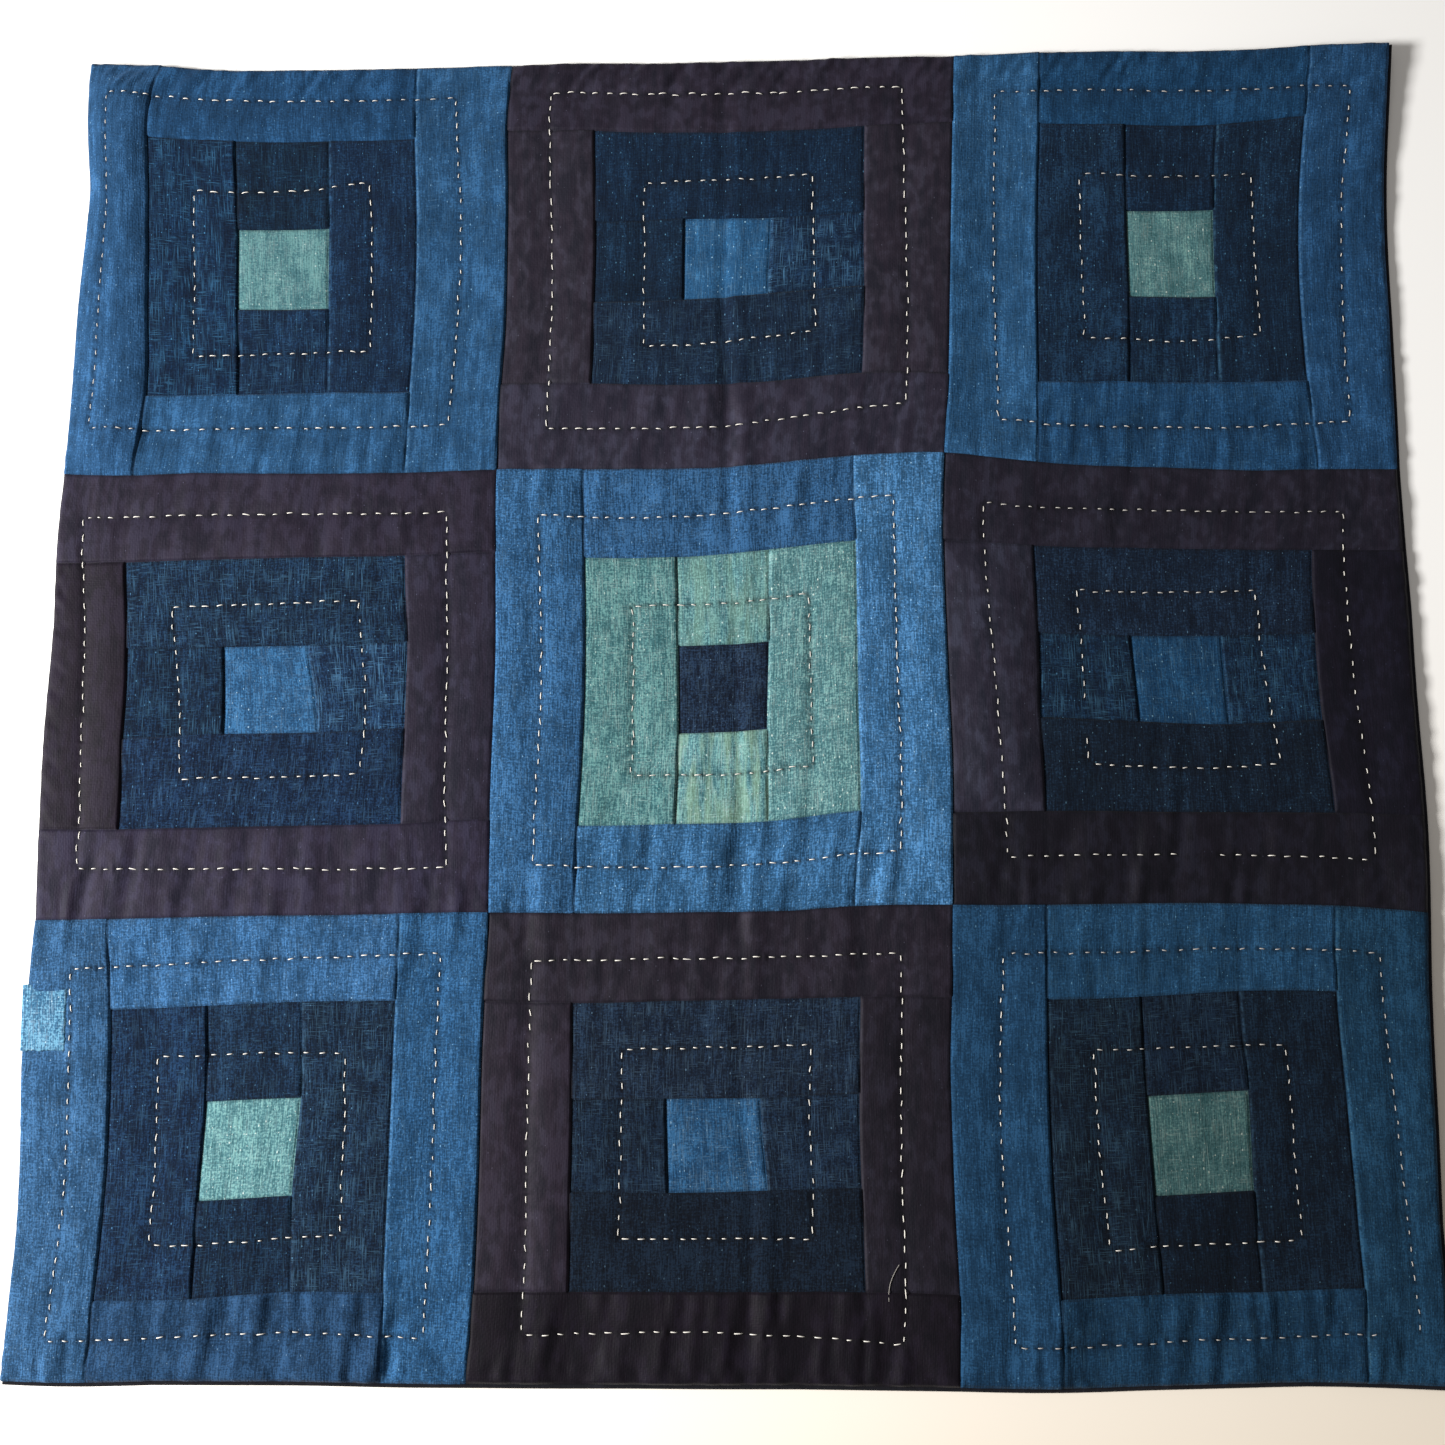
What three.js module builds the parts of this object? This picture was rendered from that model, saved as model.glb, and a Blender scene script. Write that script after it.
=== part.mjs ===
// An empty patchwork cushion cover lying flat: a quilted front panel, a plain back panel and a small folded side tab.
// Millimetres. +X is to the right, +Y to the top edge, +Z up; the cover lies on Z = 0, the middle of its box at 0, 0.
import * as THREE from 'three';

// The pattern: three by three blocks, each a square with two rings of strips round it, all finished to one width.
const STRIP = 30;
const BLOCK = 5 * STRIP;
const HALF = 1.5 * BLOCK;

// Thickness of each cloth, and the gap that parts two touching ones.
const FRONT_THICK = 1.2;
const BACK_THICK = 1;
const TAB_THICK = 0.8;
const GAP = 0.3;

// The front puffs up between its seams and its rows of stitches, most in the outer rings, because the seams'
// allowances are pressed outwards. A seam is held down a little less than a row of stitches.
const PUFF = { square: 0.25, innerRing: 0.4, outerRing: 0.5 };
const SEAM_RISE = 0.15;

// How far each sewn line strays from the true pattern, read every 50 mm from -225 to 225. An upright line is read from
// the bottom up and strays to the right (+); a level line is read from left to right and strays to the top (+).
const STATION = 50;
const UPRIGHT_LINES = {
  leftEdge: [-1, 0.5, -1, -0.5, -2, -1.5, -1.5, -1, 0.5, -1],
  leftSeam: [-3.5, -1.5, -1.5, -0.5, -1, -1, -2, -0.5, -1, -0.5],
  rightSeam: [0, -0.5, -1.5, 0, 0.5, -1, -0.5, 2, 3.5, 5],
  rightEdge: [-1.5, -1.5, -1, 0.5, 1, 0.5, -0.5, 0, 1, 4.5],
};
const LEVEL_LINES = {
  bottomEdge: [1, 1.5, 2, 2, 2.5, 3, 3, 4, 6, 5.5],
  lowerSeam: [-4.5, -3.5, -2.5, -1.5, -1.5, -0.5, 1.5, 2, 2, -0.5],
  upperSeam: [-2, -2, -2.5, -1.5, -1.5, 1, 3.5, -1.5, -3.5, -3.5],
  topEdge: [-1, -2.5, -3, -2.5, -2.5, -2, -1.5, -0.5, -1, -1],
};

// The back panel reaches this far past the front's right and bottom edges and shows there as a lip.
const LIP = 1.4;

// Corners that curl up off the surface.
const CURLS = [
  { x: HALF, y: HALF, rise: 4.5, reach: 80 },
  { x: -HALF, y: HALF, rise: 3, reach: 70 },
  { x: HALF, y: -HALF, rise: 1, reach: 60 },
];

// The side tab is folded over the left edge. The cover rides up over its under leaf, on a slope this long.
const TAB = { middle: -112, width: 21.5, topLeaf: 14, underLeaf: 9, past: 2.3, bend: 1.2 };
const TAB_SLOPE = 28;

const { lerp, smoothstep, clamp } = THREE.MathUtils;

// A smooth curve through evenly spaced values, read at a place counted in spaces from the first.
function curveThrough(values, place) {
  const last = values.length - 1;
  const k = clamp(Math.floor(place), 0, last - 1);
  const f = place - k;
  const [a, b, c, d] = [k - 1, k, k + 1, k + 2].map((i) => values[clamp(i, 0, last)]);
  return b + 0.5 * f * (c - a + f * (2 * a - 5 * b + 4 * c - d + f * (3 * (b - c) + d - a)));
}

// How far a point of the pattern strays: each line is read beside it, and the nearest two are blended.
function stray(lines, across, along) {
  const reads = Object.values(lines).map((values) => curveThrough(values, (along + HALF) / STATION));
  const gap = clamp(Math.floor((across + HALF) / BLOCK), 0, 2);
  return lerp(reads[gap], reads[gap + 1], (across + HALF) / BLOCK - gap);
}

const frontPlace = (x, y) => [x + stray(UPRIGHT_LINES, x, y), y + stray(LEVEL_LINES, y, x)];

function backPlace(x, y) {
  const [frontX, frontY] = frontPlace(x, y);
  return [frontX + (LIP * Math.max(x, 0)) / HALF, frontY + (LIP * Math.min(y, 0)) / HALF];
}

// Height of the cover's underside over the surface it lies on: nought but at its curled corners and over the tab.
function lie(x, y) {
  const curls = CURLS.map((curl) => {
    const share = Math.max(1 - Math.hypot(x - curl.x, y - curl.y) / curl.reach, 0);
    return curl.rise * share ** 2;
  });
  const pastTab = Math.max(x + HALF - TAB.topLeaf, Math.abs(y - TAB.middle) - TAB.width / 2);
  const overTab = (TAB_THICK + GAP) * (1 - smoothstep(pastTab, 4, TAB_SLOPE));
  return Math.max(...curls, overTab);
}

// Rise of the puffed cloth. A ring is counted in strips from its block's middle: seams lie at 0.5, 1.5 and 2.5 and
// rows of stitches at 1 and 2.
function puff(x, y) {
  const fromMiddle = (v) => Math.abs(((v + HALF) % BLOCK) - BLOCK / 2) / STRIP;
  const ring = Math.max(fromMiddle(x), fromMiddle(y));
  if (ring < 0.5) return PUFF.square + SEAM_RISE * 2 * ring;
  const height = ring > 1.5 ? PUFF.outerRing : PUFF.innerRing;
  const fromSeam = Math.abs(((ring - 0.5) % 1) - 0.5) * 2;
  return Math.max(height * Math.abs(Math.sin(2 * Math.PI * ring)), SEAM_RISE * smoothstep(fromSeam, 0.6, 1));
}

const backTop = (x, y) => lie(x, y) + BACK_THICK;
const frontUnder = (x, y) => backTop(x, y) + GAP;
const frontTop = (x, y) => frontUnder(x, y) + FRONT_THICK + puff(x, y);

// The front's grid has a line on every seam, on every row of stitches and half way between them.
function quiltLines() {
  const lines = [];
  for (let v = -HALF; v <= HALF; v += STRIP / 4) {
    const inSquare = Math.abs(((v + HALF) % BLOCK) - BLOCK / 2) < STRIP / 2;
    const onMiddle = (v + HALF) % BLOCK === BLOCK / 2;
    if (!inSquare || onMiddle) lines.push(v);
  }
  return lines;
}

// Plain cloth has a finer grid towards its rim, where it curls and rides over the tab, than in its flat middle.
const PLAIN_SPACING = [
  { within: BLOCK / 2, spacing: BLOCK / 4 },
  { within: BLOCK, spacing: BLOCK / 8 },
  { within: HALF, spacing: BLOCK / 12 },
];

function plainLines() {
  const outwards = [];
  for (let v = 0; v < HALF; ) {
    v += PLAIN_SPACING.find((zone) => v < zone.within).spacing;
    outwards.push(v);
  }
  return [...outwards.map((v) => -v).reverse(), 0, ...outwards];
}

// The rim of a square grid, anticlockwise from its lower left corner, with each point's share of the way round.
function rimOf(lines) {
  const last = lines.length - 1;
  const share = (i) => (lines[i] - lines[0]) / (lines[last] - lines[0]);
  const rim = [];
  for (let i = 0; i < last; i++) rim.push({ column: i, row: 0, turn: share(i) });
  for (let i = 0; i < last; i++) rim.push({ column: last, row: i, turn: 1 + share(i) });
  for (let i = last; i > 0; i--) rim.push({ column: i, row: last, turn: 3 - share(i) });
  for (let i = last; i > 0; i--) rim.push({ column: 0, row: i, turn: 4 - share(i) });
  return rim;
}

// Two triangles for each square of a grid, cut by the diagonal that runs towards the nearest corner of the sheet.
function fillGrid(grid, facesUp, triangles) {
  const middle = (grid.length - 1) / 2;
  for (let row = 0; row < grid.length - 1; row++) {
    for (let column = 0; column < grid.length - 1; column++) {
      const [a, b, c, d] = [grid[row][column], grid[row][column + 1], grid[row + 1][column + 1], grid[row + 1][column]];
      const rising = row < middle === column < middle;
      const pair = rising ? [[a, b, c], [a, c, d]] : [[a, b, d], [b, c, d]];
      triangles.push(...pair.map(([p, q, r]) => (facesUp ? [p, q, r] : [p, r, q])));
    }
  }
}

// A band of triangles between two rims that run the same way round, each step taken on the rim that lags.
function joinRims(low, high, triangles) {
  const at = (rim, k) => rim[k % rim.length].point;
  const turn = (rim, k) => (k < rim.length ? rim[k].turn : 4);
  let i = 0;
  let j = 0;
  while (i < low.length || j < high.length) {
    const stepLow = j >= high.length || (i < low.length && turn(low, i + 1) <= turn(high, j + 1));
    if (stepLow) triangles.push([at(low, i), at(low, ++i), at(high, j)]);
    else triangles.push([at(low, i), at(high, j + 1), at(high, j++)]);
  }
}

// A closed sheet: its upper face, a low wall round the rim, and an under face on a grid of its own.
function sheet({ upperLines, underLines, place, top, under }) {
  const points = [];
  const triangles = [];
  const add = (x, y, height) => points.push([...place(x, y), height(x, y)]) - 1;
  const grid = (lines, height) => lines.map((y) => lines.map((x) => add(x, y, height)));
  const upper = grid(upperLines, top);
  const insideLines = underLines.slice(1, -1);
  const inside = grid(insideLines, under);
  const rim = rimOf(upperLines);
  const wallTop = rim.map(({ column, row, turn }) => ({ turn, point: upper[row][column] }));
  const wallFoot = rim.map(({ column, row, turn }) => {
    return { turn, point: add(upperLines[column], upperLines[row], under) };
  });
  const insideRim = rimOf(insideLines).map(({ column, row, turn }) => ({ turn, point: inside[row][column] }));
  fillGrid(upper, true, triangles);
  joinRims(wallFoot, wallTop, triangles);
  joinRims(insideRim, wallFoot, triangles);
  fillGrid(inside, false, triangles);
  const geometry = new THREE.BufferGeometry();
  geometry.setAttribute('position', new THREE.Float32BufferAttribute(points.flat(), 3));
  geometry.setIndex(triangles.flat());
  return geometry;
}

// The tab's section across the edge: an under leaf, a fold past the edge and a top leaf, drawn with y for height.
function tabGeometry() {
  const topLeaf = TAB_THICK + GAP + BACK_THICK + GAP + FRONT_THICK + PUFF.outerRing + GAP;
  const top = topLeaf + TAB_THICK;
  const left = -HALF - TAB.past;
  const foldAt = left + TAB.bend;
  const innerBend = TAB.bend - TAB_THICK;
  const section = new THREE.Shape();
  section.moveTo(-HALF + TAB.underLeaf, 0);
  section.lineTo(-HALF + TAB.underLeaf, TAB_THICK);
  section.lineTo(foldAt, TAB_THICK);
  section.absarc(foldAt, TAB.bend, innerBend, -Math.PI / 2, -Math.PI, true);
  section.absarc(foldAt, top - TAB.bend, innerBend, Math.PI, Math.PI / 2, true);
  section.lineTo(-HALF + TAB.topLeaf, topLeaf);
  section.lineTo(-HALF + TAB.topLeaf, top);
  section.absarc(foldAt, top - TAB.bend, TAB.bend, Math.PI / 2, Math.PI, false);
  section.absarc(foldAt, TAB.bend, TAB.bend, Math.PI, Math.PI * 1.5, false);
  section.closePath();
  const geometry = new THREE.ExtrudeGeometry(section, { depth: TAB.width, bevelEnabled: false, curveSegments: 4 });
  geometry.rotateX(Math.PI / 2);
  geometry.translate(0, TAB.middle + TAB.width / 2, 0);
  return geometry;
}

function cloth(name, geometry, color, roughness) {
  const mesh = new THREE.Mesh(geometry, new THREE.MeshStandardMaterial({ color, roughness, metalness: 0 }));
  mesh.name = name;
  return mesh;
}

const frontPanel = sheet({
  upperLines: quiltLines(), underLines: plainLines(), place: frontPlace, top: frontTop, under: frontUnder,
});
const backPanel = sheet({
  upperLines: plainLines(), underLines: plainLines(), place: backPlace, top: backTop, under: lie,
});

const cover = new THREE.Group();
cover.add(cloth('front_panel', frontPanel, 0x2b5d8e, 0.9));
cover.add(cloth('back_panel', backPanel, 0x15151c, 0.95));
cover.add(cloth('side_tab', tabGeometry(), 0x5e97b5, 0.9));

// The sewing is not quite even, so the cover is moved until the middle of its box is the origin.
const middle = new THREE.Box3().setFromObject(cover).getCenter(new THREE.Vector3());
cover.position.set(-middle.x, -middle.y, 0);

export default cover;
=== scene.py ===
# An empty patchwork cushion cover lying flat on a pale floor: nine log-cabin blocks of hand-woven cotton,
# two squares of running stitch on every block, a plain dark back and a small folded side tab. The pattern
# is laid out in millimetres, with 0, 0 at its middle, and every finished mesh is in metres in the frame's
# own place.
import math

import bpy
import numpy as np
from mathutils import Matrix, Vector


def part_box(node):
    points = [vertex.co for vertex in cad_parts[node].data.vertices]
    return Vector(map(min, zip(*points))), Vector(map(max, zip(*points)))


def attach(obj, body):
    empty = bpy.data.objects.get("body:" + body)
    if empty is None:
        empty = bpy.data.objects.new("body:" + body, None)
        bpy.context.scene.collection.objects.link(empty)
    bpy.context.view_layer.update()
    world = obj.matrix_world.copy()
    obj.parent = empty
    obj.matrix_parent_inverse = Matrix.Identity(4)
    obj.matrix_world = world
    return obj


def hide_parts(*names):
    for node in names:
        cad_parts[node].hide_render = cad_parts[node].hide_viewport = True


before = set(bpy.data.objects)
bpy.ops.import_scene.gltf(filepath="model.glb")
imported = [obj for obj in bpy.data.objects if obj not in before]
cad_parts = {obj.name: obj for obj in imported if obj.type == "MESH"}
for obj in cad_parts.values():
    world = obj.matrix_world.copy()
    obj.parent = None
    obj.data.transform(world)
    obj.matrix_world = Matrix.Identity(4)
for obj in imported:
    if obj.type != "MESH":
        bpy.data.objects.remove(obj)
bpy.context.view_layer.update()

MM = 0.001

# The pattern: each block is five strips wide, a square with two rings of strips round it.
STRIP = 30
BLOCK = 5 * STRIP
HALF = 1.5 * BLOCK

# Thickness of the back and of the front's cloth, and the gap between two cloths that touch.
BACK_THICK = 1.0
FRONT_THICK = 1.2
GAP = 0.3
LIP = 1.4

# The side tab folded over the left edge, and where the cover slopes down from it, in mm past its under leaf.
TAB = {
    "middle": -112, "up": 0.8, "width": 21, "top_leaf": 12.8, "under_leaf": 9, "past": 2.3, "bend": 1.2,
    "thick": 0.8, "lean": -0.03,
}
TAB_SLOPE = (4, 28)

# Corners that curl up off the floor.
CURLS = [
    {"at": (HALF, HALF), "rise": 3.4, "reach": 80},
    {"at": (-HALF, HALF), "rise": 3, "reach": 70},
    {"at": (HALF, -HALF), "rise": 1, "reach": 60},
]

# How far each sewn line strays from the true pattern, read every 50 mm. An upright line is read from the
# bottom up and strays to the right (+); a level line is read from left to right and strays to the top (+).
STATIONS = np.linspace(-HALF, HALF, 10)
UPRIGHT_LINES = [
    {"at": -HALF, "stray": [-1, 0.5, -1, -0.5, -2, -1.5, -1.5, -1, 0.5, -1]},
    {"at": -BLOCK / 2, "stray": [-3.5, -1.5, -1.5, -0.5, -1, -1, -2, -0.5, -1, -0.5]},
    {"at": BLOCK / 2, "stray": [0, -0.5, -1.5, 0, 0.5, -1, -0.5, 2, 3.5, 5]},
    {"at": HALF, "stray": [-1.5, -1.5, -1, 0.5, 1, 0.5, -0.5, 0, 1, 4.5]},
]
LEVEL_LINES = [
    {"at": -HALF, "stray": [1, 1.5, 2, 2, 2.5, 3, 3, 4, 6, 5.5]},
    {"at": -BLOCK / 2, "stray": [-4.5, -3.5, -2.5, -1.5, -1.5, -0.5, 1.5, 2, 2, -0.5]},
    {"at": BLOCK / 2, "stray": [-2, -2, -2.5, -1.5, -1.5, 1, 3.5, -1.5, -3.5, -3.5]},
    {"at": HALF, "stray": [-1, -2.5, -3, -2.5, -2.5, -2, -1.5, -0.5, -1, -1]},
]

# Cloths of the three kinds of block. In a block with long uprights the left and right strips of both rings
# run full height, and the others lie between them.
CORNER = {"outer": "blue", "inner": "navy", "square": "green", "long": "upright"}
EDGE = {"outer": "aubergine", "inner": "navy", "square": "mid_blue", "long": "level"}
MIDDLE = {"outer": "blue", "inner": "green", "square": "navy", "long": "upright"}

# How far the corners of each block's seams and rows of stitches lie off the true pattern, (right, up) in
# mm, from the upper left corner clockwise. strip_ends is how far the four ends of its long strips stray
# along the block's edge, and inner_ends the same for the inner ring's long strips, (right, up) along the
# ring. bows are how far lines bend in their middles, + to the right or up: the ring's two sides beside its
# long strips, and the four sides of each row of stitches, top, right, bottom, left; "also" is any other
# known spot, (strips right, strips down, right, up). counts are the stitches on those four sides, and
# thread is how long they are in mm and how soiled. coarse, puckers and worn_and_lit are how much a block's
# yarns differ, how puckered it is and how much its folds are rubbed pale and lit by a painted highlight,
# and humps are strips that swell as one, in mm. slubs are how slubby the inner ring's left, right, top and
# bottom strips are, stain is how discoloured a patch is, and lots_and_light are how much redder, greener
# or bluer than the rest each patch is made: partly its dye lot, partly painted light and shade, which
# makes the right column darker, away from the window.
BLOCKS = [
    {
        "name": "top_left", "column": 0, "row": 0, "cloths": CORNER, "coarse": 0.72,
        "humps": {"outer_left": 2.8, "outer_right": -0.6}, "slubs": (0.8, 0.2, 0.3, 0.5),
        "ring": [(-10, 2), (-4.5, 0), (-3, -3.5), (-4.5, -4)],
        "square": [(-5.5, -3.5), (-3.5, -3.5), (-2.5, -3), (-4, -3)],
        "strip_ends": [-6, -4.5, -3.5, -7.5], "also": [(1, 0.45, -9.5, 1)],
        "inner_ends": [(-8.5, 0), (-5, -0.5), (-1.5, -3.5), (-2.5, -4)],
        "bows": {"ring": [0.3, 1.5], "outer": [0, 1.2, 0, 0.5], "inner": [-0.5, 0.4, 0, 0.2]},
        "outer_stitches": [(-4, 1.5), (-2, 1), (-1.5, 2.5), (-5, 1.5)],
        "inner_stitches": [(1, -3), (-1, 0), (0, -0.5), (0.5, -1.5)],
        "counts": {"outer": [25, 25, 26, 25], "inner": [12, 13, 14, 13]},
        "thread": {"outer": (1.72, 0.15), "inner": (1.78, 0.1)},
        "lots_and_light": {
            "outer": (0.74, 0.82, 0.87), "outer_left": (0.93, 0.94, 1.0), "outer_top": (0.48, 0.61, 0.69),
            "inner": (0.83, 0.97, 1.04), "inner_left": (0.61, 0.88, 1), "inner_top": (0.52, 0.72, 0.73),
            "inner_bottom": (0.77, 0.92, 1), "square": (0.66, 0.67, 0.72),
        },
    },
    {
        "name": "top_middle", "column": 1, "row": 0, "cloths": EDGE, "coarse": 0.66, "puckers": 0.8,
        "slubs": (0.1, 1, 0.1, 0.3),
        "ring": [(-1, 2), (3.5, 2.5), (2, 2), (-0.5, -1)],
        "square": [(1, -1.5), (1, -1.5), (0, 1), (1, -1)],
        "strip_ends": [2.5, 3.5, 1.5, -1],
        "inner_ends": [(0, -2), (3, 0.5), (3, 3.5), (0, -1.5)],
        "bows": {"ring": [-1.4, -2], "outer": [-0.5, 0, -1.2, 0.3], "inner": [0, 0.5, 0, -0.3]},
        "outer_stitches": [(-1, 1), (-2.5, 1), (1, 3.5), (1, -1)],
        "inner_stitches": [(1.5, -2.5), (-2, -0.5), (-0.5, 0.5), (2, -1.5)],
        "counts": {"outer": [26, 24, 27, 26], "inner": [13, 13, 13, 13]},
        "thread": {"outer": (2.07, 0.0), "inner": (1.84, 0.0)},
        "lots_and_light": {
            "outer": (0.88, 1, 0.99), "outer_top": (0.72, 0.78, 0.86), "outer_bottom": (0.94, 1.13, 1.2),
            "inner": (1.03, 1.12, 1.1), "inner_right": (1.04, 1.06, 1.1), "inner_bottom": (1.3, 1.1, 1.02),
            "inner_left": (0.97, 1.03, 0.97), "square": (1.1, 1.12, 1.08),
        },
    },
    {
        "name": "top_right", "column": 2, "row": 0, "cloths": CORNER, "coarse": 0.72,
        "humps": {"outer_left": -1.2}, "slubs": (0.2, 0.1, 0.1, 0.25),
        "ring": [(4, 2.5), (5, 3.5), (1.5, -2), (1.5, -1.5)],
        "square": [(3, -0.5), (2.5, -0.5), (2, -2), (3, -1.5)],
        "strip_ends": [5, 8, 3.5, 0.5],
        "inner_ends": [(3.5, 1.5), (5, 1), (2, -2.5), (2, -2)],
        "bows": {"ring": [-0.7, -2.4], "outer": [1, 0, -1.4, -0.5], "inner": [0, 0.3, -1.2, -0.3]},
        "outer_stitches": [(-0.5, -2), (1, -3.5), (-1.5, 1.5), (2, 0)],
        "inner_stitches": [(-0.5, -2.5), (-2, -3.5), (0.5, 1), (0.5, 0.5)],
        "counts": {"outer": [24, 22, 26, 27], "inner": [11, 13, 12, 12]},
        "thread": {"outer": (1.67, 0.5), "inner": (1.72, 0.4)},
        "lots_and_light": {
            "outer": (0.46, 0.6, 0.67), "outer_left": (0.86, 0.96, 1), "outer_right": (0.64, 0.74, 0.82),
            "inner_right": (1.01, 1.1, 1.04), "outer_top": (0.35, 0.53, 0.6), "inner": (0.86, 0.94, 0.92),
            "square": (0.9, 0.83, 0.83),
        },
    },
    {
        "name": "middle_left", "column": 0, "row": 1, "cloths": EDGE, "coarse": 1.15, "puckers": 0.85,
        "slubs": (0.7, 1, 0.8, 0.5),
        "ring": [(-8, -3.5), (-2.5, -1.5), (-0.5, -2.5), (-4.5, -4.5)],
        "square": [(-2.5, -3), (-4, -2.5), (0.5, -2), (-1, -2.5)],
        "strip_ends": [-3.5, -0.5, -1, -4.5],
        "inner_ends": [(-5.5, -3.5), (-0.5, -1.5), (-0.5, -0.5), (-5, -4)],
        "bows": {"ring": [0.3, 0], "outer": [0, -1.2, 0, 1], "inner": [0, 1.2, -0.4, 0]},
        "outer_stitches": [(-3.5, 0.5), (-1, 0), (0.5, 0), (1, 2)],
        "inner_stitches": [(-0.5, -1), (0.5, 0), (0.5, 1), (3, 1)],
        "counts": {"outer": [25, 27, 26, 26], "inner": [14, 12, 13, 13]},
        "thread": {"outer": (2.07, 0.0), "inner": (1.9, 0.1)},
        "lots_and_light": {
            "outer": (0.67, 0.75, 0.9), "outer_left": (0.36, 0.3, 0.42), "outer_top": (0.64, 0.66, 0.8),
            "outer_bottom": (0.69, 0.73, 0.96), "inner": (0.84, 0.95, 1.01),
            "inner_right": (1.17, 1.17, 1.23), "inner_left": (0.68, 0.77, 0.81),
            "inner_top": (0.8, 0.82, 0.84), "inner_bottom": (0.78, 0.78, 0.87), "square": (0.95, 0.88, 0.86),
        },
    },
    {
        "name": "middle", "column": 1, "row": 1, "cloths": MIDDLE, "coarse": 1.35, "puckers": 1.45,
        "worn_and_lit": 0.5, "humps": {"outer_left": 1}, "stain": {"inner_bottom": 0.45, "inner_top": 0.25},
        "ring": [(-1.5, -2.5), (-0.5, 3), (0.5, 2), (-2, -3)],
        "square": [(0.5, -3), (0.5, -1.5), (0, -1), (1, -2.5)],
        "strip_ends": [-2.5, -1, -1.5, -2.5],
        "inner_ends": [(-0.5, -2.5), (0.5, 0), (0.5, -1.5), (0, -2.5)],
        "bows": {"ring": [1.1, 0], "outer": [-0.6, -0.3, -0.8, 0.8], "inner": [-0.3, 0, -0.5, 0]},
        "outer_stitches": [(-0.5, -1.5), (-1.5, 0), (-1.5, 2), (0.5, 1)],
        "inner_stitches": [(0.5, -1), (-1.5, -1), (0, 1.5), (0.5, 1.5)],
        "counts": {"outer": [28, 29, 27, 26], "inner": [13, 13, 13, 14]},
        "thread": {"outer": (1.9, 0.0), "inner": (1.95, 0.2)},
        "lots_and_light": {
            "outer": (0.88, 0.89, 0.94), "outer_left": (1.06, 1.07, 1.11), "outer_right": (1.95, 1.8, 1.75),
            "outer_bottom": (1.45, 1.4, 1.38), "inner": (0.76, 0.78, 0.8), "inner_top": (0.96, 0.97, 1.03),
            "inner_right": (1.17, 1.07, 1.1), "inner_bottom": (0.97, 0.98, 1.04),
            "square": (1.36, 0.93, 0.85),
        },
    },
    {
        "name": "middle_right", "column": 2, "row": 1, "cloths": EDGE, "coarse": 0.88, "puckers": 1.05,
        "worn_and_lit": 0.3, "humps": {"outer_left": 2}, "slubs": (0.7, 0.6, 0.1, 0.1),
        "ring": [(-1.5, 1), (0, -1), (3, 1.5), (0.5, 2)],
        "square": [(-0.5, 0), (-1, 0), (0.5, 0.5), (1.5, 1.5)],
        "strip_ends": [3, -1.5, 0.5, 1.5],
        "inner_ends": [(-0.5, 1), (-0.5, 0.5), (0.5, 2), (-0.5, 3)],
        "bows": {"ring": [-0.3, 0], "outer": [0, 0.3, 0.5, 0], "inner": [-0.8, 0, -0.8, 0]},
        "outer_stitches": [(-2, -1.5), (-5.5, -0.5), (-2.5, 0.5), (2.5, 0.5)],
        "inner_stitches": [(-1.5, 0.5), (-3, 0.5), (0, 1), (-1, 0)],
        "counts": {"outer": [26, 23, 23, 25], "inner": [14, 12, 13, 12]},
        "thread": {"outer": (1.72, 0.3), "inner": (1.78, 0.3)},
        "lots_and_light": {
            "outer": (0.58, 0.68, 0.75), "outer_left": (0.82, 1.04, 1.1), "outer_right": (0.24, 0.28, 0.4),
            "outer_bottom": (0.26, 0.31, 0.37), "inner": (0.77, 0.85, 0.84), "inner_top": (1.05, 0.8, 0.73),
            "inner_bottom": (0.85, 0.7, 0.61), "square": (0.46, 0.55, 0.56),
        },
    },
    {
        "name": "bottom_left", "column": 0, "row": 2, "cloths": CORNER, "coarse": 1.2, "puckers": 1.4,
        "humps": {"outer_left": 1, "outer_right": -0.5}, "slubs": (0.5, 0.8, 0.4, 0.4),
        "ring": [(-3, -3.5), (0, 0), (-0.5, -1), (-3, -4.5)],
        "square": [(0, -2.5), (0.5, -1), (-1, -1.5), (-1, -3.5)],
        "strip_ends": [-6, 0.5, -0.5, -4],
        "inner_ends": [(-1.5, -2), (-0.5, -0.5), (0, -1), (-1.5, -3.5)],
        "bows": {"ring": [1.7, 0], "outer": [0, 0.4, 1.3, 1], "inner": [0.2, 0.3, -0.3, 0]},
        "outer_stitches": [(1.5, -1.5), (-1, 1), (-1, 0.5), (0, 0.5)],
        "inner_stitches": [(-0.5, -0.5), (-1, -1.5), (0.5, 2.5), (1, 2)],
        "counts": {"outer": [26, 25, 24, 24], "inner": [12, 13, 13, 13]},
        "thread": {"outer": (1.72, 0.15), "inner": (1.84, 0.1)},
        "lots_and_light": {
            "outer": (1.05, 0.95, 0.96), "outer_top": (1.23, 1.16, 1.2), "outer_right": (0.79, 0.89, 0.95),
            "outer_bottom": (0.5, 0.48, 0.52), "inner": (0.86, 0.86, 0.86), "inner_left": (0.75, 0.82, 0.91),
            "inner_right": (0.84, 0.78, 0.76), "inner_bottom": (0.65, 0.71, 0.73),
            "square": (1.08, 1.01, 1.06),
        },
    },
    {
        "name": "bottom_middle", "column": 1, "row": 2, "cloths": EDGE, "coarse": 1,
        "slubs": (0.8, 0.6, 0.5, 0.2),
        "ring": [(-2.5, -0.5), (0, 2), (1, 1), (-2, 0)],
        "square": [(-2, -0.5), (-2, 0), (0.5, 1.5), (-1, 0.5)],
        "strip_ends": [0, 2, 0.5, -0.5],
        "inner_ends": [(-2, -1), (-0.5, 1.5), (0, 2.5), (-2, 0.5)],
        "bows": {"ring": [0, 0], "outer": [0, 0.4, 2.5, -0.6], "inner": [0, 0, 0.2, 0]},
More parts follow.
